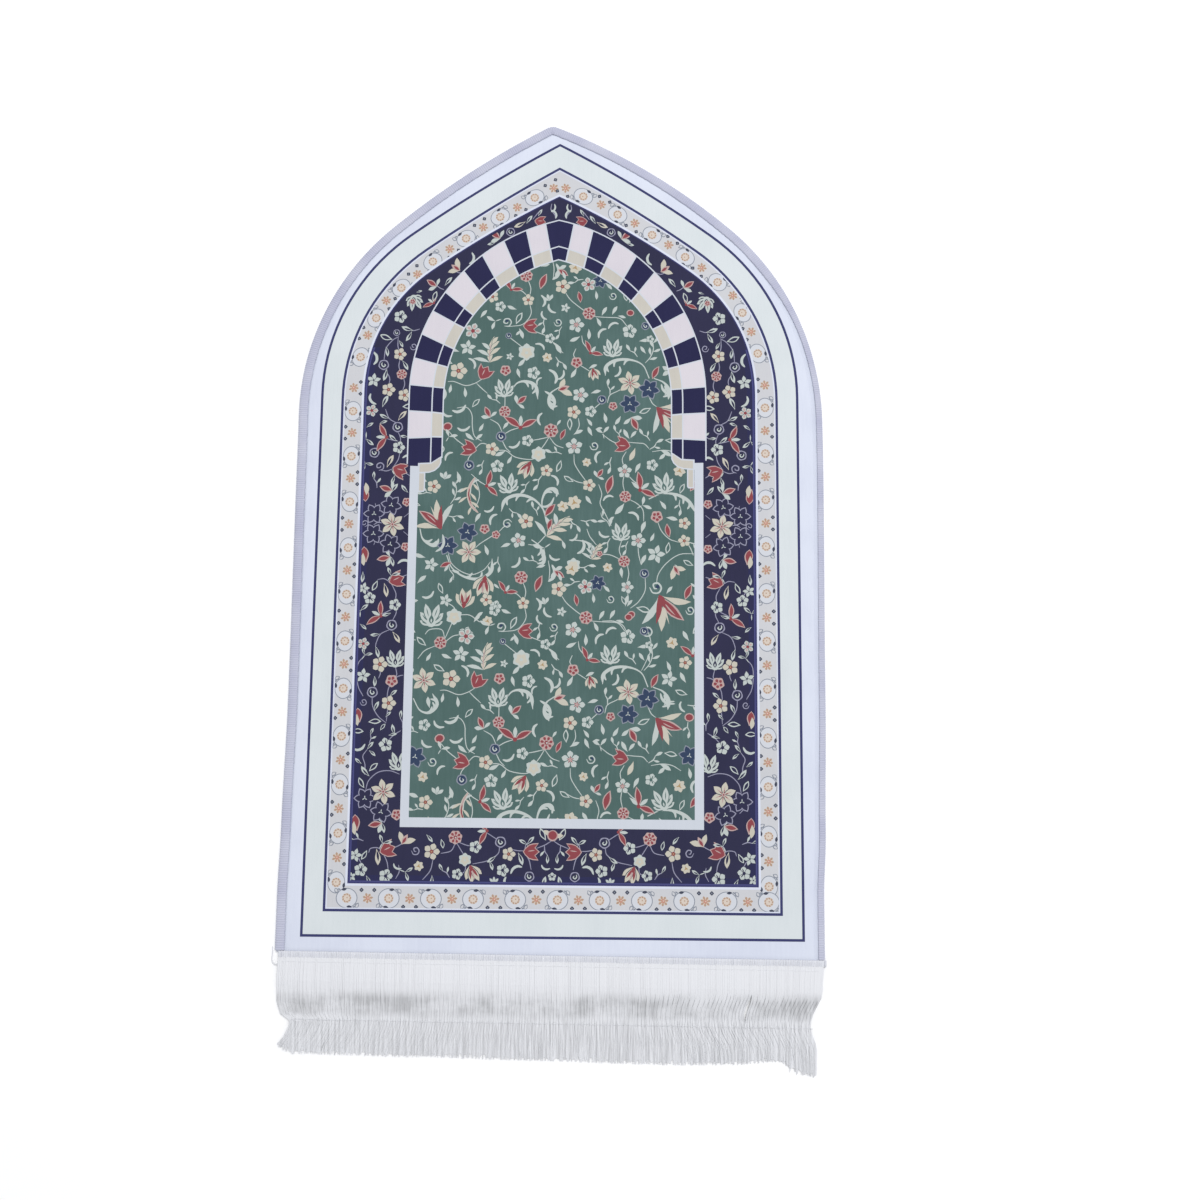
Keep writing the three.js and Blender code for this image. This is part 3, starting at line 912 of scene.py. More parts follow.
FIELD_STEMS = [
    [(-11, 838), (-9, 826), (-10, 812)],
    [(4, 798), (12, 786), (25, 775), (34, 769)],
    [(42, 764), (56, 763), (74, 762), (82, 754), (86, 748)],
    [(-42, 812), (-38, 800), (-40, 788)],
    [(-60, 797), (-50, 797), (-42, 790)],
    [(-39, 780), (-37, 768), (-42, 758), (-50, 752), (-66, 750)],
    [(-35, 745), (-24, 741), (-14, 737)],
    [(-12, 734), (-6, 726), (4, 716)],
    [(-64, 736), (-56, 730), (-46, 722)],
    [(27, 739), (29, 729), (38, 720), (44, 720)],
    [(20, 722), (17, 714), (20, 708)],
    [(26, 700), (34, 695), (40, 691)],
    [(86, 676), (74, 668), (63, 662), (60, 652)],
    [(54, 654), (47, 648), (42, 643)],
    [(112, 660), (116, 652), (122, 647)],
    [(-95, 683), (-106, 676), (-118, 673), (-132, 678), (-140, 678)],
    [(-104, 676), (-98, 670), (-90, 663)],
    [(-128, 644), (-116, 645), (-109, 636), (-108, 620), (-105, 608), (-96, 602)],
    [(-68, 660), (-68, 650), (-68, 641)],
    [(-86, 630), (-76, 624), (-71, 614)],
    [(-48, 620), (-60, 616), (-70, 610)],
    [(-12, 608), (-24, 605), (-36, 603)],
    [(-12, 608), (-18, 598), (-24, 590)],
    [(-12, 608), (-4, 598), (6, 594)],
    [(24, 632), (25, 622), (20, 612)],
    [(-137, 614), (-128, 604), (-112, 592)],
    [(-104, 592), (-96, 599), (-84, 596)],
    [(-80, 590), (-66, 590), (-54, 582), (-36, 579), (-26, 582)],
    [(-71, 604), (-66, 594), (-60, 588)],
    [(-104, 590), (-112, 580), (-112, 571)],
    [(-108, 560), (-98, 551), (-88, 545)],
    [(-104, 556), (-98, 540), (-98, 528), (-104, 514)],
    [(54, 612), (66, 603), (80, 598)],
    [(86, 602), (96, 601), (106, 600), (112, 594)],
    [(116, 590), (130, 592), (142, 590), (152, 584)],
    [(84, 590), (79, 580), (82, 566), (80, 550), (83, 536)],
    [(86, 560), (94, 552), (102, 547)],
    [(87, 530), (98, 524), (105, 516), (106, 502)],
    [(19, 586), (20, 574), (27, 562), (36, 550)],
    [(14, 556), (24, 551), (36, 549)],
    [(50, 548), (54, 536), (52, 524), (58, 512), (66, 496)],
    [(123, 502), (128, 490), (138, 480), (150, 476)],
    [(168, 462), (150, 461), (134, 450), (124, 436), (122, 424)],
    [(79, 478), (76, 466), (80, 454)],
    [(99, 472), (100, 460), (103, 448)],
    [(86, 448), (88, 436), (86, 424), (88, 400)],
    [(108, 432), (108, 416), (100, 402), (90, 394)],
    [(50, 460), (64, 460), (78, 454)],
    [(36, 492), (40, 482), (48, 472)],
    [(-106, 462), (-96, 472), (-84, 480), (-78, 484)],
    [(-72, 488), (-66, 494), (-60, 496)],
    [(-134, 460), (-130, 448), (-118, 438), (-104, 434), (-90, 440), (-82, 450)],
    [(-36, 472), (-26, 472), (-16, 482), (-8, 492)],
    [(-160, 360), (-154, 366), (-140, 366), (-136, 356)],
    [(-136, 350), (-126, 358), (-116, 360)],
    [(-136, 354), (-130, 368), (-126, 378)],
    [(-120, 384), (-106, 384), (-94, 376), (-86, 377)],
    [(-147, 346), (-160, 340), (-168, 330)],
    [(-136, 400), (-126, 394), (-122, 386)],
    [(150, 436), (147, 446), (144, 448)],
    [(158, 478), (164, 468), (167, 460)],
    [(110, 372), (116, 348), (110, 330), (104, 318)],
    [(87, 358), (82, 372), (70, 378), (56, 378)],
]

# The dark border's motifs on the left, mirrored to the right.
BORDER_SPOTS = [
    Spot("white star", -240, 70, 30, 0.6),
    Spot("dark eye", -229, 78, 10, 0.95),
    Spot("white star", -236, 95, 0, 0.8),
    Spot("dark eye", -199, 71, 0, 1.0),
    Spot("tulip", -206, 99, 20, 1.0),
    Spot("slit leaf", -222, 101, 245, 0.9),
    Spot("cream leaf", -211, 103, 285, 1.3),
    Spot("leaf pair", -204, 109, 60, 0.95),
    Spot("crescent", -190, 86, 330, 0.8),
    Spot("trumpet", -181, 108, 60, 1.0),
    Spot("curl bud", -165, 101, 0, 0.85),
    Spot("gold flower", -160, 83, 0, 0.95),
    Spot("leaf pair", -176, 76, 340, 0.9),
    Spot("cream flower", -145, 100, 0, 1.0),
    Spot("leaf", -152, 120, 320, 0.9),
    Spot("slit leaf", -134, 115, 290, 0.8),
    Spot("rosette", -117, 117, 0, 1.0),
    Spot("dark eye", -93, 106, 0, 0.9),
    Spot("poppy", -105, 91, 0, 0.85),
    Spot("dark eye", -114, 74, 0, 0.8),
    Spot("striped cup", -99, 85, 290, 1.0),
    Spot("red fork", -79, 125, 190, 1.0),
    Spot("ring bud", -63, 112, 0, 1.0),
    Spot("leaf", -68, 96, 225, 1.0),
    Spot("leaf", -76, 90, 300, 0.9),
    Spot("cream flower", -53, 98, 0, 0.85),
    Spot("dark eye", -60, 79, 0, 0.9),
    Spot("leaf pair", -31, 109, 100, 1.0),
    Spot("tulip", -35, 101, 0, 1.0),
    Spot("leaf", -42, 100, 300, 1.2),
    Spot("ring bud", -28, 72, 0, 0.9),
    Spot("crescent", -14, 86, 340, 0.8),
    Spot("trefoil", -70, 64, 90, 0.8),
    Spot("half tulip", -238, 143, 270, 1.0),
    Spot("small tulip", -205, 133, 195, 1.2),
    Spot("leaf", -206, 134, 295, 1.0),
    Spot("bud rose", -188, 143, 0, 1.0),
    Spot("dusk star", -207, 146, 0, 0.95),
    Spot("dusk star", -227, 162, 10, 0.95),
    Spot("star", -205, 170, 0, 1.0),
    Spot("slit leaf", -228, 174, 125, 1.0),
    Spot("palmette", -187, 196, 95, 1.05),
    Spot("leaf", -222, 188, 140, 1.2),
    Spot("leaf", -232, 203, 150, 0.8),
    Spot("slit leaf", -223, 194, 50, 1.0),
    Spot("leaf", -226, 220, 60, 0.9),
    Spot("leaf", -224, 219, 330, 0.8),
    Spot("dark eye", -204, 226, 30, 1.0),
    Spot("leaf", -193, 238, 115, 1.0),
    Spot("leaf", -201, 237, 20, 0.8),
    Spot("ring bud", -222, 289, 0, 1.0),
    Spot("slit leaf", -226, 253, 10, 1.1),
    Spot("leaf", -219, 266, 75, 1.0),
    Spot("slit leaf", -211, 243, 60, 0.7),
    Spot("cream flower", -202, 276, 0, 0.95),
    Spot("leaf", -201, 284, 50, 0.9),
    Spot("leaf", -205, 259, 55, 0.7),
    Spot("bud rose", -199, 303, 0, 1.15),
    Spot("palmette", -195, 320, 92, 1.0),
    Spot("half tulip", -239, 270, 270, 0.9),
    Spot("curl bud", -233, 277, 0, 0.7),
    Spot("leaf", -220, 309, 280, 1.0),
    Spot("cream flower", -214, 323, 0, 1.0),
    Spot("white star", -234, 309, 10, 0.9),
    Spot("leaf pair", -233, 334, 60, 0.8),
    Spot("pink flower", -235, 348, 0, 0.8),
    Spot("leaf", -220, 345, 295, 1.1),
    Spot("leaf", -215, 360, 195, 0.9),
    Spot("leaf", -240, 372, 330, 0.8),
    Spot("ring bud", -201, 371, 0, 1.0),
    Spot("cream leaf", -200, 363, 312, 1.1),
    Spot("red fork", -214, 382, 160, 1.1),
    Spot("leaf", -202, 386, 205, 0.9),
    Spot("leaf pair", -240, 388, 90, 1.0),
    Spot("dark eye", -198, 396, 0, 0.9),
    Spot("dark eye", -229, 404, 20, 0.9),
    Spot("white star", -237, 416, 0, 0.75),
    Spot("slit leaf", -220, 426, 250, 1.0),
    Spot("cream leaf", -212, 423, 290, 1.2),
    Spot("tulip", -205, 424, 20, 1.0),
    Spot("leaf pair", -204, 432, 62, 0.95),
    Spot("small tulip", -205, 455, 195, 1.2),
    Spot("leaf", -205, 456, 295, 1.0),
    Spot("half tulip", -238, 468, 270, 1.0),
    Spot("bud rose", -187, 468, 0, 0.85),
    Spot("dusk star", -206, 471, 0, 0.95),
    Spot("dusk star", -227, 484, 10, 0.95),
    Spot("star", -204, 496, 0, 1.0),
    Spot("curl bud", -238, 496, 90, 0.7),
    Spot("dusk star", -227, 509, 10, 0.95),
    Spot("dusk star", -206, 520, 0, 0.95),
    Spot("bud rose", -187, 524, 0, 0.85),
    Spot("half tulip", -238, 524, 90, 1.0),
    Spot("leaf", -206, 536, 65, 1.0),
    Spot("small tulip", -205, 538, 165, 1.2),
    Spot("leaf pair", -203, 558, 300, 0.95),
    Spot("tulip", -205, 567, 340, 1.0),
    Spot("cream leaf", -213, 567, 72, 1.2),
    Spot("curl bud", -222, 568, 80, 0.9),
    Spot("leaf pair", -240, 573, 300, 0.9),
    Spot("ring bud", -229, 586, 20, 0.95),
    Spot("dark eye", -199, 593, 0, 0.95),
    Spot("leaf", -201, 601, 150, 1.0),
    Spot("leaf pair", -240, 604, 270, 1.1),
    Spot("red fork", -214, 606, 185, 1.15),
    Spot("ring bud", -201, 619, 0, 1.0),
    Spot("cream leaf", -201, 627, 58, 1.1),
    Spot("leaf", -212, 630, 165, 1.0),
    Spot("leaf", -240, 618, 45, 0.8),
    Spot("leaf", -224, 623, 30, 0.8),
    Spot("pink flower", -234, 640, 0, 0.85),
    Spot("leaf", -221, 644, 75, 1.3),
    Spot("crescent", -236, 662, 300, 1.1),
    Spot("cream flower", -194, 660, 0, 0.85),
    Spot("cream flower", -214, 667, 0, 0.9),
    Spot("white star", -233, 679, 10, 0.9),
    Spot("rosette", -198, 687, 0, 0.8),
    Spot("leaf", -217, 694, 265, 1.2),
    Spot("ring bud", -221, 699, 0, 1.0),
    Spot("crescent", -234, 699, 95, 1.2),
    Spot("cream flower", -201, 713, 0, 0.85),
    Spot("leaf", -198, 705, 310, 1.1),
    Spot("leaf", -219, 723, 290, 1.0),
    Spot("slit leaf", -211, 732, 165, 1.2),
    Spot("leaf", -203, 731, 310, 0.8),
    Spot("ring bud", -206, 741, 0, 0.65),
    Spot("curl bud", -185, 723, 0, 0.75),
    Spot("leaf", -187, 743, 250, 1.1),
    Spot("leaf", -185, 744, 170, 1.2),
    Spot("dark eye", -202, 762, 0, 1.0),
    Spot("palmette", -187, 790, 285, 0.95),
    Spot("bud rose", -187, 782, 0, 0.6),
    Spot("red fork", -160, 780, 150, 0.8),
    Spot("slit leaf", -161, 782, 80, 1.0),
    Spot("small tulip", -157, 802, 150, 1.1),
    Spot("leaf", -147, 803, 60, 1.1),
    Spot("leaf", -183, 794, 25, 0.6),
    Spot("trumpet", -128, 823, 145, 1.0),
    Spot("crescent", -117, 832, 80, 1.1),
    Spot("small tulip", -78, 866, 145, 1.2),
    Spot("leaf", -84, 861, 205, 0.8),
    Spot("ring bud", -65, 875, 0, 0.85),
    Spot("cream leaf", -46, 889, 215, 1.1),
    Spot("leaf", -45, 886, 65, 1.0),
    Spot("tulip", -34, 890, 352, 0.75),
    Spot("crescent", -8, 893, 120, 0.9),
    Spot("crescent", -14, 902, 70, 0.8),
    Spot("leaf", -30, 896, 72, 0.8),
]
BORDER_STEMS = [
    [(-228, 84), (-231, 90), (-234, 94)],
    [(-220, 98), (-218, 103), (-210, 104), (-204, 101)],
    [(-203, 98), (-198, 88), (-196, 78)],
    [(-204, 101), (-206, 106), (-203, 110)],
    [(-190, 104), (-182, 108), (-176, 113)],
    [(-184, 84), (-183, 76), (-187, 68)],
    [(-143, 92), (-146, 78), (-155, 67)],
    [(-117, 110), (-122, 101), (-134, 98)],
    [(-115, 110), (-110, 102), (-106, 96)],
    [(-112, 111), (-104, 108), (-98, 107)],
    [(-104, 85), (-105, 77), (-112, 74)],
    [(-80, 123), (-72, 118), (-66, 114)],
    [(-64, 106), (-66, 98), (-78, 90), (-96, 86)],
    [(-52, 104), (-42, 102), (-36, 102)],
    [(-34, 102), (-33, 108), (-30, 112)],
    [(-36, 101), (-29, 92), (-26, 80)],
    [(-20, 105), (-10, 109), (-2, 114)],
    [(-226, 172), (-223, 183), (-212, 193), (-198, 195), (-186, 191)],
    [(-224, 148), (-229, 154), (-228, 160)],
    [(-228, 190), (-228, 202), (-231, 212), (-226, 220)],
    [(-200, 232), (-194, 238), (-186, 243)],
    [(-204, 252), (-214, 260), (-221, 272), (-222, 284)],
    [(-204, 254), (-203, 266), (-202, 272)],
    [(-204, 282), (-203, 292), (-200, 300)],
    [(-196, 306), (-190, 309), (-185, 310)],
    [(-195, 320), (-193, 312), (-194, 307)],
    [(-214, 319), (-213, 312), (-215, 306)],
    [(-233, 284), (-240, 298), (-241, 322), (-232, 334)],
    [(-202, 366), (-214, 360), (-219, 350), (-220, 344)],
    [(-200, 377), (-196, 386), (-197, 392)],
    [(-198, 400), (-197, 410), (-203, 422)],
    [(-214, 384), (-206, 388), (-200, 391)],
    [(-205, 424), (-212, 428), (-220, 427)],
    [(-192, 430), (-187, 432), (-184, 433)],
    [(-229, 408), (-232, 413), (-236, 416)],
    [(-226, 470), (-223, 480)],
    [(-226, 522), (-223, 511)],
    [(-214, 497), (-222, 498), (-227, 495)],
    [(-190, 505), (-184, 510)],
    [(-190, 487), (-184, 482)],
    [(-192, 562), (-187, 559), (-184, 557)],
    [(-205, 568), (-199, 578), (-197, 590)],
    [(-205, 566), (-213, 563), (-220, 564)],
    [(-200, 612), (-197, 604), (-198, 596)],
    [(-214, 604), (-206, 602), (-200, 601)],
    [(-202, 624), (-212, 630), (-217, 642)],
    [(-214, 671), (-213, 682), (-219, 692)],
    [(-197, 664), (-194, 674), (-196, 684)],
    [(-201, 706), (-202, 698), (-200, 690)],
    [(-221, 704), (-219, 720), (-211, 731), (-203, 736)],
    [(-204, 735), (-204, 724), (-202, 716)],
    [(-195, 750), (-186, 744), (-177, 746)],
    [(-148, 798), (-153, 800), (-158, 804)],
    [(-134, 822), (-128, 820), (-122, 822)],
    [(-37, 892), (-31, 900), (-28, 903)],
    [(-13, 913), (-14, 905), (-9, 898), (-8, 893)],
]


# Lines and grounds of the print.
ARCH_LEAN = -3.5


def arch(half, foot, springing, radius, top=0, sweep=180.0, centre=0.0, inset=0.0, foot_right=None):
    """A closed arch outline: straight sides, shoulder arcs up to sweep, and flatter arcs from
    there to the point. With a sweep of 180 the shoulder arcs run up to the point. inset is
    how far inside its line the outline runs."""
    sides = []
    for side in (1, -1):
        middle = np.array([half - radius, springing])
        tip = side * (ARCH_LEAN - centre)
        if sweep < 90:
            turn = np.array([math.cos(math.radians(sweep)), math.sin(math.radians(sweep))])
            joint = middle + radius * turn
            chord = np.array([tip, top]) - joint
            upper = chord @ chord / (-2 * chord @ turn)
            centre_up = joint - turn * upper
            end = math.acos((tip - centre_up[0]) / (upper - inset))
            first = np.linspace(0, math.radians(sweep), 20)
            second = np.linspace(math.radians(sweep), end, 16)[1:]
            low = middle + (radius - inset) * np.stack([np.cos(first), np.sin(first)], 1)
            high = centre_up + (upper - inset) * np.stack([np.cos(second), np.sin(second)], 1)
            run = np.concatenate([low, high])
        else:
            end = math.acos((tip - middle[0]) / (radius - inset))
            angle = np.linspace(0, end, 32)
            run = middle + (radius - inset) * np.stack([np.cos(angle), np.sin(angle)], 1)
        low_y = foot if side < 0 or foot_right is None else foot_right
        start = [[half - inset, low_y + inset]]
        run = np.concatenate([start, run])
        sides.append(np.stack([centre + side * run[:, 0], run[:, 1]], 1))
    return np.concatenate([sides[0], sides[1][-2::-1]])


OUTER_LINE = dict(half=298, foot=0, springing=660, radius=263, top=993.8, sweep=53.5)
INNER_LINE = dict(half=272.3, foot=29.5, springing=655, radius=243, top=961.6, sweep=54)
BORDER_LINE = dict(half=244.3, foot=62, springing=665, radius=196, top=922.7, sweep=53.6)
STONE_OUTER = dict(half=185.3, springing=661, radius=235, centre=-2.5, foot=573, foot_right=580)
STONE_MIDDLE = dict(half=156.5, springing=655, radius=207, centre=-2.5, foot=577, foot_right=584)
STONE_INNER = dict(half=142.5, springing=655, radius=189, centre=-2.5, foot=582, foot_right=589)

# Joints of the arch's stones, as angles in degrees about its middle, at the outer and
# inner ends. The same on both sides.
JOINTS = [
    {"outer": 85.6, "inner": 87.4},
    {"outer": 79.5, "inner": 80.1},
    {"outer": 71.5, "inner": 72.9},
    {"outer": 63.3, "inner": 63.9},
    {"outer": 54.9, "inner": 55.7},
    {"outer": 45.3, "inner": 46.8},
    {"outer": 37.0, "inner": 39.4},
    {"outer": 27.6, "inner": 28.2},
    {"outer": 17.9, "inner": 18.6},
    {"outer": 7.3, "inner": 7.9},
    {"outer": -2.6, "inner": -4.2},
    {"outer": -12.4, "inner": -14.5},
]
MIDDLE_OF_STONES = np.array([-2.5, 650.0])
# How far the last stones reach to the side of the middle, and how far down the arches run on
# so that every stone finds its place on them.
FOOT_OF_STONES = 184.5
BELOW_STONES = 540


def on_arch(line, angles, side):
    """Places on one side of an arch, by angle about the middle of the stones."""
    outline = line[line[:, 0] * side > MIDDLE_OF_STONES[0] * side]
    away = outline - MIDDLE_OF_STONES
    seen = np.degrees(np.arctan2(away[:, 1], away[:, 0] * side))
    order = np.argsort(seen)
    reach = np.hypot(away[:, 0], away[:, 1])
    across = np.interp(angles, seen[order], (reach * np.cos(np.radians(seen)))[order])
    up = np.interp(angles, seen[order], (reach * np.sin(np.radians(seen)))[order])
    return np.stack([MIDDLE_OF_STONES[0] + side * across, MIDDLE_OF_STONES[1] + up], 1)


def stone(ink, low_line, high_line, side, start, end, gap_low, gap_high):
    """One stone between two arches and two joints. The gaps are how far, in degrees, it
    stays inside its joints."""
    inner = np.linspace(start["inner"] - gap_low, end["inner"] + gap_low, 6)
    outer = np.linspace(start["outer"] - gap_high, end["outer"] + gap_high, 6)
    lay(ink, np.concatenate([on_arch(high_line, outer, side), on_arch(low_line, inner, side)[::-1]]))


def angle_of_foot(foot, half):
    return math.degrees(math.atan2(foot - MIDDLE_OF_STONES[1], half))


def keystone(low_line, high_line, inner, outer):
    """The stone at the point, over both sides, from the angle of its joint to upright."""
    right = on_arch(high_line, np.linspace(outer + 0.4, 89.9, 4), 1)
    left = on_arch(high_line, np.linspace(89.9, outer + 0.4, 4), -1)
    under_left = on_arch(low_line, np.linspace(inner + 0.4, 89.9, 4), -1)
    under_right = on_arch(low_line, np.linspace(89.9, inner + 0.4, 4), 1)
    lay("stone_navy", np.concatenate([right, left, under_left, under_right]))


def stones():
    """Two rows of stones round the niche. The middle arch between them is at 0.6 of the way
    from a joint's outer angle to its inner one."""
    lines = {}
    for name, sizes in (("outer", STONE_OUTER), ("middle", STONE_MIDDLE), ("inner", STONE_INNER)):
        for part, inset in (("in", 0.8), ("out", -0.8)):
            lines[name, part] = arch(**dict(sizes, inset=inset, foot=BELOW_STONES, foot_right=BELOW_STONES))
    for side in (1, -1):
        end = "foot" if side < 0 else "foot_right"
        foot = {
            "inner": angle_of_foot(STONE_INNER[end], STONE_INNER["half"]),
            "middle": angle_of_foot(STONE_OUTER[end] + 1, STONE_MIDDLE["half"]),
            "outer": angle_of_foot(STONE_OUTER[end], FOOT_OF_STONES),
        }
        rows = [*JOINTS, foot]
        for k, ends in enumerate(zip(rows, rows[1:])):
            dark = k % 2 == 1 or k == len(rows) - 2
            middles = [row.get("middle", 0.6 * row["inner"] + 0.4 * row["outer"]) for row in ends]
            high = [{"inner": middle, "outer": row["outer"]} for row, middle in zip(ends, middles)]
            low = [{"inner": row["inner"], "outer": middle} for row, middle in zip(ends, middles)]
            ink = "stone_navy" if dark else "stone_pink"
            stone(ink, lines["middle", "out"], lines["outer", "in"], side, *high, 0.29, 0.24)
            ink = "stone_navy" if dark else "stone_beige"
            stone(ink, lines["inner", "out"], lines["middle", "in"], side, *low, 0.33, 0.29)
    keystone(lines["middle", "out"], lines["outer", "in"], 86.4, 85.4)
    keystone(lines["inner", "out"], lines["middle", "in"], 87.2, 86.6)


CORBEL_EDGE = [(0, 0.6), (0, -8), (2.5, -13.5), (8, -18.5), (15, -21), (29, -21.6), (29, -8.6), (12.6, -7.8)]
CORBEL_FILL = [(1.5, -1.8), (1.6, -8), (3.8, -12.6), (8.8, -17.2), (15.4, -19.4), (27, -20)]
CORBEL_FILL += [(27, -10.2), (12.8, -9.6)]
POST_EDGE = [(28.5, -21), (19.6, -21), (19.6, -43), (21.2, -45.2), (28.5, -45.2)]
POST_FILL = [(27, -21.8), (21.2, -21.8), (21.2, -42.2), (22, -43.6), (27, -43.6)]


def corbels():
    """The quarter rounds under the inner row of stones, with the short posts below them."""
    for side, x, y in ((-1, -145.4, 582), (1, 139.7, 589)):
        for edge, fill in ((CORBEL_EDGE, CORBEL_FILL), (POST_EDGE, POST_FILL)):
            lay("frame", [(x + side * out, y + up) for out, up in edge])
            lay("stone_beige", [(x + side * out, y + up) for out, up in fill])


def petal_at(x, y, long, wide, turn):
    return petal(long, wide, turn=turn, root=-long / 2, steps=5) + np.array([x, y])


def medallion(x, y, turn, flip, rim=10.6):
    """A thin grey circle with a paler inside, a dark leaf and a small open leaf on opposite
    sides of it, and a ragged ring of brown about its pale middle. rim is its reach across
    the band."""
    draw = pen("band", x, y, turn + 90)
    shape = np.array([1.0, rim / 12.9])
    draw("scroll_grey", disc(12.9, steps=26) * shape)
    draw("rosette_pale", disc(11.9, steps=26) * shape)
    for side in (1, -1):
        out = side * flip * rim
        draw("scroll_grey", petal_at(side * 12.4, 0.72 * out, 7.4, 5.2, side * flip * -58))
        draw("rosette_ground", petal_at(side * 12.6, 0.74 * out, 5.0, 2.8, side * flip * -58))
        draw("scroll_grey", petal_at(side * 9.0, 0.86 * out, 4.4, 2.0, side * flip * -30))
        draw("leaf_grey", petal_at(side * 3.4, 0.86 * out, 6.8, 3.4, side * flip * 8))
    draw("pink_ring", disc(5.7, steps=16))
    for k in range(9):
        angle = 0.7 * k
        along = 4.4 * math.cos(angle)
        across = 4.4 * math.sin(angle)
        draw("peach", petal_at(along, across, 3.6, 2.0, math.degrees(angle) + 62))
    draw("pink_ring", disc(3.3, (0.2, 0.2), lobes=6, depth=0.1))
    draw("peach", disc(0.9, (0.5, 0.5), steps=5))


def orange_flower(x, y, turn, side, rim=8.5):
    """A small ragged flower between two medallions, with a pair of round grey buds at one
    edge of the band."""
    draw = pen("band", x, y, turn + 90)
    draw("pink_ring", disc(5.2, lobes=7, depth=0.12))
    for k in range(7):
        long = 5.2 - 0.5 * (k % 2)
        draw("peach", petal(long, 2.8, turn=51.4 * k + 9, root=1.4, belly=0.6, steps=4))
    draw("blush", disc(2.5, lobes=5, depth=0.12))
    draw("pink_ring", disc(0.8, (0.4, 0.3), steps=5))
    for along in (7.6, -7.6):
        draw("leaf_grey", disc(2.3, (along, side * rim), lobes=4, depth=0.14))
        draw("scroll_grey", disc(0.9, (along, side * rim), steps=5))


# The flower band's places round the arch, from the point down to the springing.
BandPlace = namedtuple("BandPlace", "ring_x ring_y flower_x flower_y")
ARCH_LEFT = [
    BandPlace(-35, 921, -11, 934),
    BandPlace(-78.6, 895, -57, 908),
    BandPlace(-121.5, 866, -100, 881),
    BandPlace(-163, 835, -142, 852),
    BandPlace(-202, 800, -182, 818),
    BandPlace(-232.5, 760, -220.5, 783),
    BandPlace(-250.5, 709, -242.5, 737.5),
]
ARCH_RIGHT = [
    BandPlace(27, 923, 4.5, 934),
    BandPlace(71, 899, 50, 912),
    BandPlace(115, 872, 93, 887.5),
    BandPlace(157, 843, 136, 859),
    BandPlace(198, 810, 178, 829),
    BandPlace(229, 770, 217, 792.5),
    BandPlace(248, 717, 240, 745),
]


def flower_band():
    """Medallions and small flowers by turns: up both sides, along the foot, and round the
    arch. Every second one is turned over. The band's own middle runs at -257.5 and 256.5 at
    the sides and at 45 along the foot."""
    for k in range(11):
        flip = 1 if k % 2 == 0 else -1
        medallion(-257.5, 63 + 57.6 * k, 90, flip)
        medallion(256.5, 63 + 58.4 * k, 90, -flip)
        orange_flower(-257.5, 92 + 57.7 * k, 90, -flip)
        orange_flower(256.5, 92 + 58.4 * k, 90, flip)
        medallion(-244.5 + 50.05 * k, 45, 0, -flip, 11.8)
        if k < 10:
            orange_flower(-219.5 + 50.05 * k, 45, 0, flip, 9.6)
    for places, side in ((ARCH_LEFT, -1), (ARCH_RIGHT, 1)):
        for k, here in enumerate(places):
            ahead = places[min(k + 1, len(places) - 1)]
            behind = places[max(k - 1, 0)]
            rise = behind.ring_y - ahead.ring_y
            turn = math.degrees(math.atan2(rise, behind.ring_x - ahead.ring_x))
            flip = 1 if k % 2 == 0 else -1
            medallion(here.ring_x, here.ring_y, turn, side * flip)
            orange_flower(here.flower_x, here.flower_y, turn, flip)


# Where small leaves fill the ground that the listed motifs leave bare: the boxes that
# are tried, as left, right, low and high.
FIELD_GAPS = [(-182, 176, 448, 838)]
BORDER_GAPS = [(-238, -188, 66, 740), (-188, -4, 66, 124)]
# The places tried in them are this far apart, and need this much room round them.
GAP_STEP = 4.5
GAP_RADIUS = 7.7
GAP_KINDS = ["leaf", "sprout", "crescent", "sprout", "slit leaf", "sprout", "leaf", "crescent"]

# How far along its own direction a motif's middle is from its root, and how far it reaches.
EXTENT = {
    "leaf": (6.5, 5),
    "cream leaf": (7, 5.5),
    "slit leaf": (7, 6),
    "leaf pair": (5, 9),
    "crescent": (7, 5.5),
    "sickle": (13, 9),
    "red leaf": (8.5, 6.5),
    "red fork": (4, 13),
    "tulip": (9, 9.5),
    "small tulip": (6, 8.5),
    "palmette": (11, 11.5),
    "acanthus": (14, 13),
    "lily": (15, 15),
    "striped cup": (11, 11),
    "trumpet": (8, 9),
    "half tulip": (11, 10),
    "sprig": (12, 10),
    "sprout": (1, 8),
    "frond": (20, 16),
    "branch": (17, 14),
    "trefoil": (5, 6),
    "star": (0, 14),
    "dusk star": (0, 13),
}


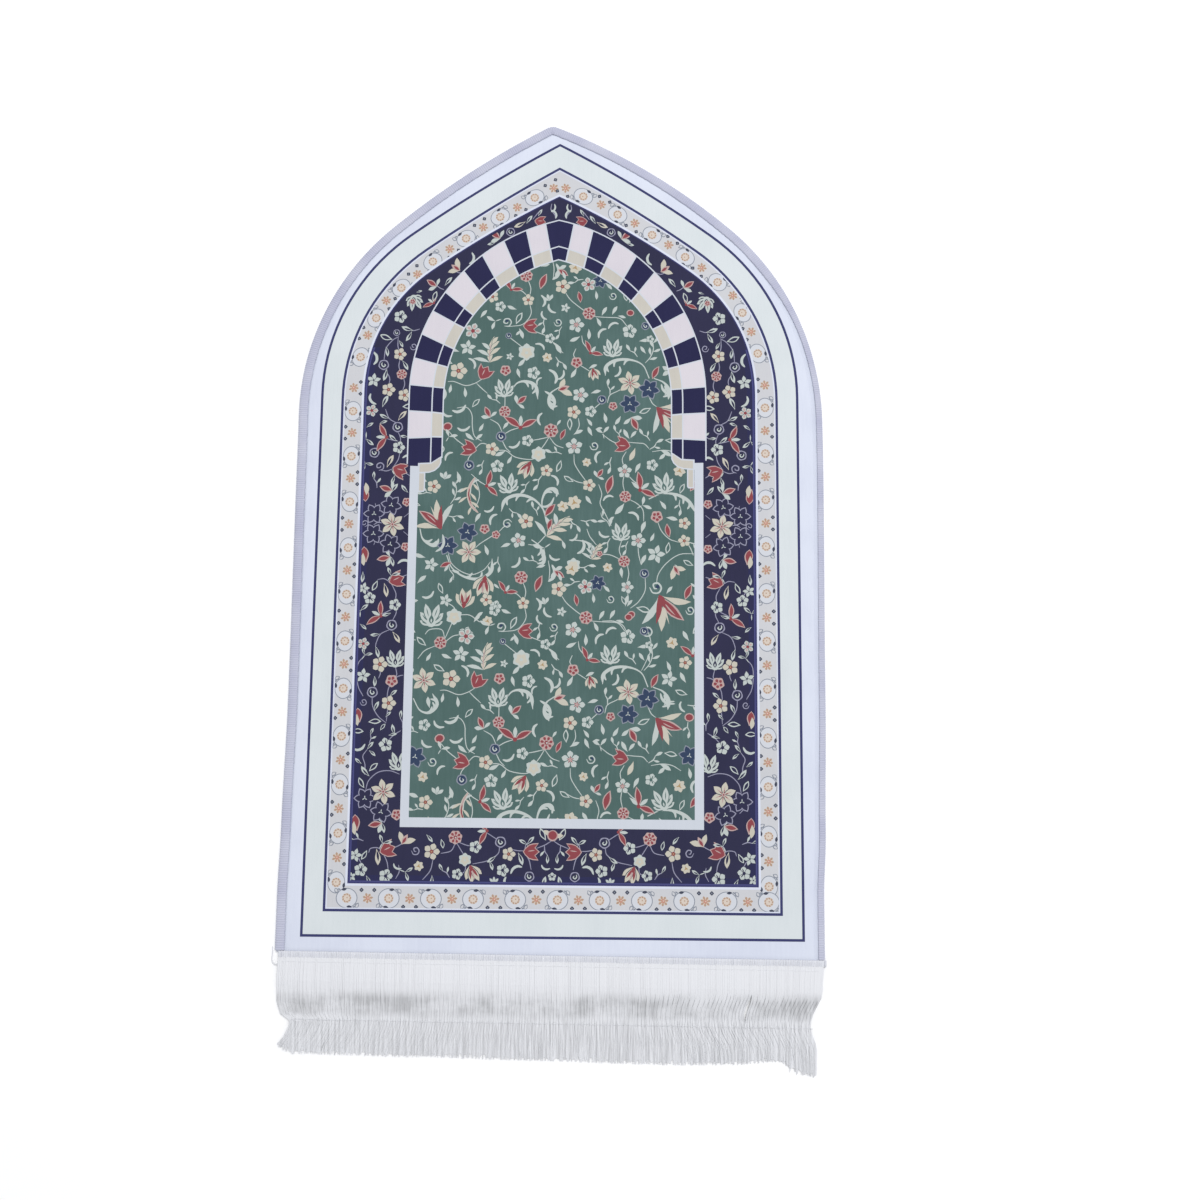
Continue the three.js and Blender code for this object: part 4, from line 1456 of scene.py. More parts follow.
def fill_gaps(spots, stems, boxes, repeat):
    """Leaves and sprouts for the bare places, the same each run."""
    taken = []
    for spot in spots:
        ahead, reach = EXTENT.get(spot.motif, (0, 8))
        turn = math.radians(spot.turn)
        x = spot.x + ahead * spot.size * math.cos(turn)
        y = spot.y + ahead * spot.size * math.sin(turn)
        taken.append((x, y, reach * spot.size))
    for line in stems:
        taken += [(x, y, 1.5) for x, y in curve(line, 3)]
    taken += [(x, y + lift, r) for x, y, r in taken for lift in (repeat, -repeat) if repeat]
    taken = np.array(taken)
    found = []
    for left, right, low, high in boxes:
        for row, y in enumerate(np.arange(low, high, GAP_STEP)):
            for column, x in enumerate(np.arange(left, right, GAP_STEP)):
                seed = row * 97 + column * 13
                at = np.array([x + 2 * uneven(seed), y + 2 * uneven(seed + 0.5)])
                free = (np.hypot(taken[:, 0] - at[0], taken[:, 1] - at[1]) - taken[:, 2]).min()
                if free < GAP_RADIUS:
                    continue
                size = float(min(free, 9.0) / 8.0)
                kind = GAP_KINDS[len(found) % len(GAP_KINDS)]
                turn = math.radians(180 * float(uneven(seed + 0.25)))
                ahead = EXTENT[kind][0]
                root = at - ahead * size * np.array([math.cos(turn), math.sin(turn)])
                found.append(Spot(kind, root[0], root[1], math.degrees(turn), size))
                lifts = (0, repeat, -repeat) if repeat else (0,)
                more = [(at[0], at[1] + lift, 7.5 * size) for lift in lifts]
                taken = np.concatenate([taken, more])
    return found


def strew(spots, stems, ground, lift=0.0, mirror=None, stem_ink="pale"):
    """Stems and motifs on a ground, lifted by the print's repeat or mirrored about a line."""
    for line in stems:
        pen(ground, 0, lift, mirror=mirror)(stem_ink, ribbon(line, 1.1, ends=0.6, steps=4))
    for spot in spots:
        draw = pen(ground, spot.x, spot.y + lift, spot.turn, spot.size, mirror)
        MOTIFS[spot.motif](draw, ground)


def inside(points, outline):
    """Which points lie inside a closed outline."""
    x, y = points.T
    found = np.zeros(len(points), bool)
    for (ax, ay), (bx, by) in zip(outline, np.roll(outline, -1, axis=0)):
        if ay != by:
            found ^= ((ay > y) != (by > y)) & (x < ax + (bx - ax) * (y - ay) / (by - ay))
    return found


def on_their_grounds(drawn):
    """The shapes without those that lie wholly off their ground."""
    regions = {
        name: [outline for ink, outline, ground in drawn if ink == laid and ground is None]
        for name, laid in GROUND_INKS.items()
    }
    return [
        (ink, outline, ground)
        for ink, outline, ground in drawn
        if ground is None or any(inside(outline, region).any() for region in regions[ground])
    ]


# The line that the border is mirrored about.
PRINT_MIDDLE = -1
# The dark ground runs up to the border's thin line above this height.
DARK_TOP = 716
FRAME_OUTLINE = [(-184, 128.5), (179.5, 128.5), (179.5, 580), (-184, 573)]
NICHE_OUTLINE = [(-173.5, 140), (168.5, 140), (168.5, 571), (139.7, 587), (-145.4, 580), (-173.5, 564)]


def border_ground():
    """The dark border, with a lighter line and rim along its edge."""
    lay("margin", arch(**BORDER_LINE, inset=-2.6))
    for ink, inset in (("border_blue", 0), ("border_rule", 2.4), ("border_blue", 3.0), ("border_rim", 3.6)):
        lay(ink, arch(**BORDER_LINE, inset=inset))
    top = arch(**BORDER_LINE, inset=1.5)
    lay("border", top[top[:, 1] > DARK_TOP])
    lay("border", arch(**BORDER_LINE, inset=10))


def middle_flower():
    """The flower at the middle of the border's foot, with a dark eye below it."""
    draw = pen("border", PRINT_MIDDLE, 119)
    for turn in (20, 160):
        draw("cream", petal(13, 5.4, turn=turn - 14, belly=0.6))
    draw("rose", disc(6.6, (0, 1)))
    draw("red", disc(5.2, (0, 1.4)))
    dark_eye(pen("border", PRINT_MIDDLE, 72, size=0.6), "border")


def draw_print():
    """The whole print, from its outer line inward. What is laid later covers what is under it."""
    lay("line", arch(**OUTER_LINE, inset=-0.2))
    lay("mint", arch(**OUTER_LINE, inset=2.9))
    lay("line", arch(**INNER_LINE, inset=-0.2))
    lay("margin", arch(**INNER_LINE, inset=2.9))
    lay("rosette_ground", arch(**INNER_LINE, inset=4.4))
    flower_band()
    border_ground()
    fillers = fill_gaps(BORDER_SPOTS, BORDER_STEMS, BORDER_GAPS, 0)
    for mirror in (None, PRINT_MIDDLE):
        strew([*BORDER_SPOTS, *fillers], BORDER_STEMS, "border", mirror=mirror, stem_ink="stem")
    middle_flower()
    lay("frame", arch(**STONE_OUTER, inset=-0.8))
    lay("frame", FRAME_OUTLINE)
    stones()
    lay("field", arch(**dict(STONE_INNER, inset=0.8, foot=560, foot_right=560)))
    lay("field", NICHE_OUTLINE)
    fillers = fill_gaps(FIELD_SPOTS, [*FIELD_STEMS, *FIELD_SCROLLS], FIELD_GAPS, FIELD_REPEAT)
    for lift in (0, -FIELD_REPEAT):
        for line in FIELD_SCROLLS:
            swash(pen("field", 0, lift), line)
        strew([*FIELD_SPOTS, *fillers], FIELD_STEMS, "field", lift)
    corbels()


# The cloth's outline, and its slab. A straight side's length only sets how many points it has.
STRAIGHT_SIDE = 660


def edge_line(spacing):
    """The line BAND_REACH inside the edge, from the hem up the right side, over the point and
    down the left side: place and outward direction, as in the part's source."""
    inner = HALF_WIDTH - BAND_REACH
    sweep = math.radians(SHOULDER_SWEEP)
    turn = np.array([math.cos(sweep), math.sin(sweep)])
    joint = np.array([0, SPRINGING]) + inner * turn
    runs = []
    for side in (1, -1):
        low = HEM + BAND_REACH + HEM_SLOPE * side * HALF_WIDTH
        straight = np.linspace(low, SPRINGING, int(STRAIGHT_SIDE / spacing))[:-1]
        chord = np.array([side * POINT_SHIFT, POINT - BAND_REACH]) - joint
        upper = chord @ chord / (-2 * chord @ turn)
        middle = joint - turn * upper
        end = math.atan2(POINT - BAND_REACH - middle[1], side * POINT_SHIFT - middle[0])
        angle = np.linspace(0, sweep, int(inner * sweep / spacing))
        flat = np.linspace(sweep, end, int(upper * (end - sweep) / spacing))[1:]
        across = [np.full(len(straight), inner), inner * np.cos(angle), middle[0] + upper * np.cos(flat)]
        up = [straight, SPRINGING + inner * np.sin(angle), middle[1] + upper * np.sin(flat)]
        out = np.concatenate([np.zeros(len(straight)), angle, flat])
        run = [side * np.concatenate(across), np.concatenate(up), side * np.cos(out), np.sin(out)]
        runs.append(np.stack(run, 1))
    right, left = runs
    start = math.atan2(right[-1, 3], right[-1, 2])
    end = math.atan2(left[-1, 3], left[-1, 2])
    fan = np.linspace(start, end, max(4, int(BAND_REACH * (end - start) / spacing) + 2))[1:-1]
    point = np.tile(right[-1, :2], (len(fan), 1))
    point = np.column_stack([point, np.cos(fan), np.sin(fan)])
    line = np.concatenate([right, point, left[::-1]])
    side = np.where(line[:, 0] < 0, -1, 1)
    drifts = [eased(SIDE_DRIFT, "y", line[:, 1], column) for column in ("left", "right")]
    line[:, 0] += side * smooth(np.abs(line[:, 0]), 0, inner) * np.where(side < 0, *drifts)
    return line


def swell(x, y):
    """The face swells and sinks by a fraction of a millimetre, as in the part's source."""
    height = y - HEM
    broad = np.sin(x / 118 + 0.7) * np.sin(height / 149 + 0.4)
    return 0.35 * broad + 0.15 * np.sin(x / 61 - height / 83)


def piece(name, points, faces, slots, slot_of_face=None, smooth_faces=True):
    """A mesh object from points in print millimetres."""
    points = np.asarray(points, float)
    placed = (points + np.array([SHIFT_X, SHIFT_Y, 0])) / 1000
    mesh = bpy.data.meshes.new(name)
    mesh.from_pydata(placed.tolist(), [], [list(face) for face in faces])
    for material in slots:
        mesh.materials.append(material)
    if slot_of_face is not None:
        mesh.polygons.foreach_set("material_index", np.asarray(slot_of_face, np.int32))
    mesh.polygons.foreach_set("use_smooth", np.full(len(mesh.polygons), smooth_faces))
    mesh.validate()
    mesh.update()
    made = bpy.data.objects.new(name, mesh)
    bpy.context.collection.objects.link(made)
    return made


def bridge(lower, upper, closed=True):
    """Four-sided faces between two rows of points of equal count."""
    steps = len(lower) if closed else len(lower) - 1
    count = len(lower)
    return [(lower[i], lower[(i + 1) % count], upper[(i + 1) % count], upper[i]) for i in range(steps)]


def flipped(faces):
    return [tuple(reversed(face)) for face in faces]


def through_sections(sections):
    """A closed tube through sections of equal count, with both ends capped."""
    count = len(sections[0])
    faces = []
    for i in range(len(sections) - 1):
        low = range(i * count, (i + 1) * count)
        high = range((i + 1) * count, (i + 2) * count)
        faces += bridge(low, high)
    last = (len(sections) - 1) * count
    faces.append(tuple(range(count)))
    faces.append(tuple(reversed(range(last, last + count))))
    return [point for section in sections for point in section], faces


# The cloth's rim, outward from the edge line and down to its back: under the band it is
# lower. At the hem it stays level as far as the tape.
RIM_SECTION = [
    {"out": 1.2, "z": 5.75, "hem_out": 6.0, "hem_z": MAT_TOP},
    {"out": 2.2, "z": 5.2, "hem_out": 10.2, "hem_z": 5.9},
    {"out": RIM_START, "z": RIM_HIGH, "hem_out": 11.0, "hem_z": 5.2},
    {"out": RIM_REACH - 1, "z": RIM_HIGH, "hem_out": RIM_REACH - 1, "hem_z": RIM_HIGH},
    {"out": RIM_REACH, "z": 3.05, "hem_out": RIM_REACH, "hem_z": 3.05},
    {"out": RIM_REACH - 1, "z": RIM_LOW, "hem_out": RIM_REACH - 1, "hem_z": RIM_LOW},
    {"out": RIM_START, "z": RIM_LOW, "hem_out": RIM_START, "hem_z": RIM_LOW},
    {"out": 0, "z": 0.0, "hem_out": 0, "hem_z": 0.0},
]


EDGE_SPACING = 7.0
HEM_POINTS = 90
# Points over the whole face, in staggered rows, let it swell evenly.
GRID = 18.0
GRID_SIDE = 302
GRID_INSET = 20
SWELL_FROM_EDGE = 45
BACK_MIDDLE = 467.0


def cloth_border():
    """The outline of the cloth's face, along the edge line and the hem: place and outward
    direction."""
    edge = edge_line(EDGE_SPACING)
    hem_x = np.linspace(edge[-1, 0], edge[0, 0], HEM_POINTS + 2)[1:-1]
    hem_y = np.interp(hem_x, [edge[-1, 0], edge[0, 0]], [edge[-1, 1], edge[0, 1]])
    hem = np.stack([hem_x, hem_y, np.zeros(HEM_POINTS), -np.ones(HEM_POINTS)], 1)
    loop = np.concatenate([edge, hem])
    loop[0, 2:] = (1, -1)
    loop[len(edge) - 1, 2:] = (-1, -1)
    apart = np.linalg.norm(np.diff(loop[:, :2], axis=0), axis=1) >= 1e-6
    return loop[np.concatenate([[True], apart])]


def ink_of_cell(over, grounds):
    """The ink of the topmost shape over a cell, leaving out motifs that are off their ground.
    Shape 0 is the border of the cloth."""
    for k in sorted(over, reverse=True)[:-1]:
        ink, _, ground = shapes[k - 1]
        if ground is None or over & grounds[ground]:
            return ink
    return "margin"


def printed_face(border):
    """The face cut along all the print's outlines: its points, its cells, each cell's ink and
    which of the points are the border's."""
    count = len(border)
    points = [tuple(p) for p in border[:, :2]]
    outlines = [list(range(count))]
    for _, outline, _ in shapes:
        outlines.append(list(range(len(points), len(points) + len(outline))))
        points += [tuple(p) for p in outline]
    for row, y in enumerate(np.arange(HEM + GRID_INSET, POINT - GRID_INSET, GRID)):
        for x in np.arange(-GRID_SIDE + GRID / 2 * (row % 2), GRID_SIDE + 1, GRID):
            points.append((x, y))
    flat, _, cells, origins, _, sources = delaunay_2d_cdt(points, [], outlines, 0, 1e-5, True)
    grounds = {
        name: {k + 1 for k, (ink, _, ground) in enumerate(shapes) if ink == laid and ground is None}
        for name, laid in GROUND_INKS.items()
    }
    inside_border = [(tuple(cell), set(over)) for cell, over in zip(cells, sources) if 0 in over]
    faces = [cell for cell, _ in inside_border]
    slots = [ink_order.index(ink_of_cell(over, grounds)) for _, over in inside_border]
    place_of = {source: k for k, came in enumerate(origins) for source in came if source < count}
    flat = np.array([(p[0], p[1]) for p in flat])
    return flat, faces, slots, [place_of[k] for k in range(count)]


def mat_piece(inks, backing):
    """The padded cloth: the printed face, its rim and its plain back, closed."""
    border = cloth_border()
    count = len(border)
    flat, faces, slots, rim = printed_face(border)
    # How far each point is from the border, a few of the border's points at a time.
    reach = np.full(len(flat), 1e9)
    for start in range(0, count, 64):
        gap = flat[:, None, :] - border[None, start : start + 64, :2]
        reach = np.minimum(reach, np.sqrt((gap**2).sum(2)).min(1))
    height = MAT_TOP + swell(flat[:, 0], flat[:, 1]) * smooth(reach, 0, SWELL_FROM_EDGE)
    height[rim] = MAT_TOP
    solid = [np.column_stack([flat, height])]
    total = len(flat)
    side = ink_order.index("margin")
    back = len(ink_order)
    at_hem = border[:, 3] < -0.5
    level_hem = at_hem & (np.abs(border[:, 2]) < 0.5)
    inner = rim
    for part in RIM_SECTION:
        x = border[:, 0] + border[:, 2] * part["out"]
        y = border[:, 1] + border[:, 3] * np.where(at_hem, part["hem_out"], part["out"])
        z = np.where(level_hem, part["hem_z"], part["z"])
        solid.append(np.column_stack([x, y, z]))
        outer = list(range(total, total + count))
        total += count
        faces += flipped(bridge(inner, outer))
        slots += [side if part["z"] > RIM_LOW + 0.1 else back] * count
        inner = outer
    solid.append(np.array([[0, BACK_MIDDLE, 0.0]]))
    faces += [(total, inner[(i + 1) % count], inner[i]) for i in range(count)]
    slots += [back] * count
    made = piece("prayer_mat_cloth", np.concatenate(solid), faces, [*inks, backing], slots)
    return made, border


# The overlock band.
def overlock_thread():
    """Spun polyester thread, laid side by side over the edge: matt and a little fuzzy. Each
    stitch is geometry, 2.7 mm apart. Its own fine twist, 0.4 mm, is drawn at 1 mm. Its
    colour changes a little about every 45 mm."""
    material, tree, shader, place = cloth_material("overlock thread", "#B9BBCD", 0.82, 0.1)
    bumped(tree, shader, noise(tree, place, 1000 / 1.0, 2), 0.3, 0.0004)
    broad = ranged(tree, noise(tree, place, 1000 / 45, 3), 0.35, 0.65, 0, 1)
    two_toned(tree, shader, broad, "#BEC0D0", "#B3B5C9")
    return material


STITCH_PITCH = 2.7
# How far the fringe's tape reaches up over the hem. The band ends there.
TAPE_OVER = 3.0

# The band's section round the edge, as offset from the edge line and height: the bed that
# the stitches lie on, and their crest.
BAND_SECTION = [
    {"offset": 3.0, "z": 5.3, "crest_offset": 2.9, "crest_z": 5.5},
    {"offset": 3.2, "z": 5.9, "crest_offset": 3.0, "crest_z": 6.3},
    {"offset": 4.4, "z": 6.15, "crest_offset": 4.3, "crest_z": 6.75},
    {"offset": 8.0, "z": 6.2, "crest_offset": 8.0, "crest_z": 6.85},
    {"offset": 11.0, "z": 6.0, "crest_offset": 11.1, "crest_z": 6.6},
    {"offset": 13.0, "z": 5.2, "crest_offset": 13.4, "crest_z": 5.7},
    {"offset": 13.9, "z": 3.6, "crest_offset": 14.5, "crest_z": 3.8},
    {"offset": 13.8, "z": 1.8, "crest_offset": 14.3, "crest_z": 1.6},
    {"offset": 12.8, "z": 0.6, "crest_offset": 13.0, "crest_z": 0.25},
    {"offset": 10.0, "z": 0.35, "crest_offset": 10.0, "crest_z": 0.05},
    {"offset": 3.2, "z": 0.35, "crest_offset": 3.0, "crest_z": 0.05},
]
# The underside of the bed, over the cloth's rim, as offset and height.
BAND_HOLLOW = [(3.0, 1.0), (13.0, 1.0), (13.0, 5.1)]
# Rows of the section from its first: those where each stitch starts at its own place, those
# beside the groove, and those on top and round the outside.
START_ROWS = 2
GROOVE_ROWS = 3
OUTSIDE_ROWS = 7


def past_groove(x, out):
    """The offset of a place at the band's inner edge. On the right the band starts further
    out, so the rim shows as a groove beside it."""
    return out + float(3.6 * smooth(x, 240, 300)) * (8 - out) / 5


def band_path():
    """The edge line from hem to hem, with its length so far."""
    line = edge_line(3.0)
    keep = np.concatenate([[True], np.linalg.norm(np.diff(line, axis=0), axis=1) > 1e-7])
    line = line[keep]
    line = line[line[:, 1] > HEM + BAND_REACH + 3]
    ends = []
    for side, place in ((1, line[0]), (-1, line[-1])):
        ends.append(np.array([place[0], HEM + TAPE_OVER + 0.6 + HEM_SLOPE * side * HALF_WIDTH, side, 0]))
    line = np.concatenate([[ends[0]], line, [ends[1]]])
    outer = line[:, :2] + line[:, 2:] * 12
    length = np.concatenate([[0], np.cumsum(np.linalg.norm(np.diff(outer, axis=0), axis=1))])
    return line, length


def band_bed(line):
    """The channel round the cloth's rim that the stitches lie on."""
    bed = [(row["offset"], row["z"]) for row in BAND_SECTION] + BAND_HOLLOW
    sections = []
    for x, y, out_x, out_y in line:
        section = []
        for n, (out, z) in enumerate(bed):
            if n < GROOVE_ROWS:
                out = past_groove(x, out)
            section.append((x + out_x * out, y + out_y * out, z))
        sections.append(section)
    return through_sections(sections)


def band_stitch(at, middle, k):
    """Stitch k of the band, as rows of four points from the band's inner edge to its foot."""
    rise = 1 + 0.14 * float(uneven(k))
    lean = 0.5 * float(uneven(k + 0.37))
    points = []
    for n, row in enumerate(BAND_SECTION):
        shift = lean * (0.5 - n / (len(BAND_SECTION) - 1))
        start = float(uneven(k * 1.7)) * 0.35 if n < START_ROWS else 0.0
        for part, crest in ((-0.5, 0.0), (-0.22, 1.0), (0.22, 1.0), (0.5, 0.0)):
            base = at(middle + shift + part * STITCH_PITCH)
            out = row["offset"] + (row["crest_offset"] - row["offset"]) * crest - start
            if n < GROOVE_ROWS:
                out = past_groove(base[0], out)
            z = row["z"] + (row["crest_z"] - row["z"]) * crest * (rise if n < OUTSIDE_ROWS else 1)
            if crest == 0:
                z += -0.05 if n < OUTSIDE_ROWS else 0.05
            points.append((base[0] + base[2] * out, base[1] + base[3] * out, z))
    return points


def band_piece(thread):
    line, length = band_path()

    def at(place):
        row = np.array([np.interp(place, length, line[:, k]) for k in range(4)])
        row[2:] /= np.hypot(*row[2:])
        return row

    points, faces = band_bed(line)
    stitches = int(length[-1] / STITCH_PITCH)
    for k in range(stitches):
        first = len(points)
        points += band_stitch(at, (k + 0.5) * length[-1] / stitches, k)
        for row in range(first, len(points) - 4, 4):
            faces += bridge(range(row, row + 4), range(row + 4, row + 8), closed=False)
    return piece("overlock_edge", points, faces, [thread])


# The fringe. Yarns are flattened tubes: their count, their points, width and thickness.
YARNS = 960
YARN_STATIONS = 22
YARN_WIDE = 0.98
YARN_THICK = 0.42
UNDER_YARNS = 330
UNDER_STATIONS = 16
UNDER_WIDE = 3.0
UNDER_THICK = 0.7
HEADING_TICKS = 320
TICK_WIDE = 1.5
TICK_THICK = 0.7
# How far the tape reaches down past the hem, and to each side.
TAPE_PAST = 4.0
TAPE_HALF = 323
# How far down from the hem the yarns reach, by the place across.
STRAND_LENGTHS = [
    {"across": -322, "length": 106},
    {"across": -298, "length": 113},
    {"across": -150, "length": 114},
    {"across": 0, "length": 116},
    {"across": 140, "length": 118},
    {"across": 215, "length": 116},
    {"across": 265, "length": 112},
    {"across": 300, "length": 126},
    {"across": 322, "length": 129},
]
# How far the strands at the two ends have run sideways: out over the cuff at the left, in
# under it, and out again at the tips.
STRAND_RUNS = [
    {"down": 0, "left": -1, "right": -2},
    {"down": 30, "left": -2, "right": -4},
    {"down": 55, "left": -1, "right": -7},
    {"down": 68, "left": 4, "right": -9},
    {"down": 78, "left": 17, "right": -11},
    {"down": 92, "left": 12, "right": -12},
    {"down": 106, "left": 2, "right": -13},
    {"down": 130, "left": 1, "right": -13},
]
# Height of the yarns' upper layer by how far they are down from the hem: level over the
# knitted cuff, sagging behind it, up again at the second row of stitches, then loose.
YARN_HEIGHTS = [
    {"down": -3, "z": 6.1},
    {"down": 8, "z": 5.9},
    {"down": 30, "z": 6.0},
    {"down": 44, "z": 4.6},
    {"down": 58, "z": 3.2},
    {"down": 66, "z": 3.2},
    {"down": 76, "z": 4.0},
    {"down": 84, "z": 3.8},
    {"down": 100, "z": 3.0},
    {"down": 130, "z": 1.8},
]
# The middle of the sag, where grey is painted on the yarn as shade, as a length down from the hem.
SAG = 56
# The loose ends draw together in locks of this width. On the right the yarns part once.
LOCK_WIDTH = 5.2
PARTING = 236


def strand_run(across, down):
    """How far a strand has run sideways."""
    from_left = np.clip((across + TAPE_HALF) / 150, 0, 1)
    from_right = np.clip((TAPE_HALF - across) / 150, 0, 1)
    left = eased(STRAND_RUNS, "down", down, "left") * (1 - from_left) ** 2
    right = eased(STRAND_RUNS, "down", down, "right") * (1 - from_right) ** 2
    return left + right + 1.6 * np.sin(across / 34 + 1) * smooth(down, 25, 110)


def fringe_yarn(name, code, painted_shade_code):
    """Soft spun polyester yarn: white, with a slight sheen along its twist. Where the fringe
    sags, grey is painted on as shade, in soft patches about 40 mm long. The loose ends have
    fine grey streaks, 2.6 mm wide, painted on as the shade between their locks. The twist,
    1 mm a turn, is drawn at 1.6 mm."""
    material, tree, shader, place = cloth_material(name, code, 0.7, 0.15)
    twist = add(
        tree,
        "ShaderNodeMapping",
        {"Scale": (700, 625, 700), "Rotation": (0, 0, 0.6)},
        {"Vector": place},
    )
    bumped(tree, shader, noise(tree, twist.outputs[0], 1, 1), 0.15, 0.0003)
    # Painted shade: soft grey patches, about 40 mm long, laid where the fringe sags.
    sag_shade_patch = noise(tree, place, (1000 / 46, 1000 / 40, 1), 4, Roughness=0.6)
    sag_shade_patch = ranged(tree, sag_shade_patch, 0.38, 0.62, 0.2, 0.85)
    along = add(tree, "ShaderNodeSeparateXYZ", None, {"Vector": place}).outputs["Y"]
    middle = (HEM - SAG + SHIFT_Y) / 1000
    off = joined(tree, "ABSOLUTE", joined(tree, "ADD", along, -middle))
    sagging = ranged(tree, off, 0.005, 0.021, 1, 0, interpolation_type="SMOOTHSTEP")
    limits = (middle - 0.022, middle - 0.006)
    loose = ranged(tree, along, *limits, 1, 0, interpolation_type="SMOOTHSTEP")
    # Painted shade: fine grey streaks along the yarns, for the shade between the locks.
    streak = noise(tree, place, (1000 / 2.6, 1000 / 90, 1), 3, Roughness=0.6)
    streak = ranged(tree, streak, 0.42, 0.62, 0, 0.62)
    # The painted shade in the sag, broken up by the streaks.
    sag_painted_shade = joined(tree, "MULTIPLY", sagging, sag_shade_patch)
    sag_painted_shade = joined(tree, "MULTIPLY", sag_painted_shade, joined(tree, "ADD", streak, 0.75))
    # Painted shade between the loose locks at the ends.
    ends_painted_shade = joined(tree, "MULTIPLY", loose, streak)
    two_toned(tree, shader, joined(tree, "MAXIMUM", sag_painted_shade, ends_painted_shade), code, painted_shade_code)
    return material


def tubes(lines, wide, thick, sides=4):
    """Closed flattened tubes along lines of points, all in one list of points and faces. Each
    has the same width and thickness, or the same row of them along it."""
    points = []
    faces = []
    first = 0
    for line in lines:
        line = np.asarray(line, float)
        along = np.gradient(line, axis=0)
        along /= np.linalg.norm(along, axis=1)[:, None]
        across = np.cross(along, [0, 0, 1.0])
        across /= np.linalg.norm(across, axis=1)[:, None] + 1e-9
        up = np.cross(across, along)
        half = np.full(len(line), wide)[:, None] / 2
        tall = np.full(len(line), thick)[:, None] / 2
        rows = []
        for s in range(sides):
            angle = 2 * math.pi * s / sides
            rows.append(line + across * math.cos(angle) * half + up * math.sin(angle) * tall)
        points.append(np.stack(rows, 1).reshape(-1, 3))
        stations = len(line)
        for n in range(stations - 1):
            low = [first + n * sides + s for s in range(sides)]
            high = [first + (n + 1) * sides + s for s in range(sides)]
            faces += flipped(bridge(low, high))
        faces.append(tuple(first + s for s in range(sides)))
        faces.append(tuple(first + (stations - 1) * sides + s for s in reversed(range(sides))))
        first += stations * sides
    return np.concatenate(points), faces


def loose_lean(across, down, locks=1.0):
    """The loose ends lean left over the left half and draw together in thin locks. With
    locks at nought they don't draw together."""
    lean = -12 * (1 - smooth(across, -230, 40)) * smooth(across, -330, -240)
    lean = lean + 3 * smooth(across, 60, 220)
    bent = across + 2.6 * np.sin(across / 17) + 3.0 * np.sin(across / 41)
    cell = np.floor(bent / LOCK_WIDTH)
    gather = 0.34 * locks * ((cell + 0.5) * LOCK_WIDTH - bent)
    wild = 1.6 * locks * uneven(cell * 3.1) + 2.4 * uneven(np.floor(bent / 13) * 1.7)
    parted = 2.2 * np.sign(across - PARTING) * smooth(np.abs(across - PARTING), 16, 0)
    parted = parted * smooth(down, 34, 50) * smooth(down, 74, 58)
    swept = -8 * smooth(across, 70, 200) * smooth(down, 36, 64) * (1 - smooth(down, 72, 100))
    sunk = smooth(across, 60, 150) * smooth(down, 38, 50) * (1 - smooth(down, 62, 72))
    ends = (gather + wild) * smooth(down, 84, 118)
    return lean * smooth(down, 70, 116) + swept + parted + 0.8 * gather * sunk + ends


def yarn_line(across, seed, layer, stations, shorter=0.0, stray=0.0, locks=1.0):
    """One yarn from under the tape to its end. layer is its share of the upper yarns' height,
    and stray how far it wanders off."""
    length = float(eased(STRAND_LENGTHS, "across", across, "length"))
    length = length + 1.6 * float(uneven(seed)) - shorter
    down = -TAPE_OVER + 0.4 + (length + TAPE_OVER - 0.4) * np.linspace(0, 1, stations)
    wander = 0.3 * np.sin(down / 9.0 + seed * 1.3) * smooth(down, 30, 60)
    wander += (0.9 + 1.2 * abs(stray)) * np.sin(down / 17.0 + seed * 0.7) * smooth(down, 80, 118)
    x = across + strand_run(across, down) + wander + loose_lean(across, down, locks)
    x += stray * 9 * smooth(down, 66, 126)
    z = eased(YARN_HEIGHTS, "down", down, "z") * layer
    z += 0.35 * layer * np.sin(across / 19.0 + down / 26.0) * smooth(down, 34, 60)
    z += 0.5 * abs(stray) * smooth(down, 60, 80)
    z += 0.22 * locks * layer * np.sin(across * 2 * math.pi / LOCK_WIDTH + 1.0) * smooth(down, 78, 100)
    y = HEM + HEM_SLOPE * across - down
    return np.stack([x, y, np.maximum(z, 0.4)], 1)


def fringe_pieces(yarn):
    """Fine yarns, of which every nineteenth strays, over wider ones that fill in below."""
    top = []
    for k in range(YARNS):
        across = -TAPE_HALF + 1.6 + (2 * TAPE_HALF - 3.2) * k / (YARNS - 1)
        across += 0.1 * float(uneven(k)) + 0.12 * (1 - k % 3)
        stray = float(uneven(k * 1.9)) if k % 19 == 7 else 0.0
        layer = 1 + 0.03 * float(uneven(k + 0.5))
        top.append(yarn_line(across, k, layer, YARN_STATIONS, stray=stray))
    under = []
    for k in range(UNDER_YARNS):
        across = -TAPE_HALF + 2 + (2 * TAPE_HALF - 4) * k / (UNDER_YARNS - 1)
        under.append(yarn_line(across, k + 4000, 0.72, UNDER_STATIONS, shorter=2.5, locks=0.0))
    taper = np.linspace(1, 0.7, YARN_STATIONS)
    points, faces = tubes(top, YARN_WIDE * taper, YARN_THICK * taper)
    upper = piece("fringe_yarns", points, faces, [yarn], smooth_faces=False)
    points, faces = tubes(under, UNDER_WIDE, UNDER_THICK)
    below = piece("fringe_under_yarns", points, faces, [yarn], smooth_faces=False)
    return upper, below


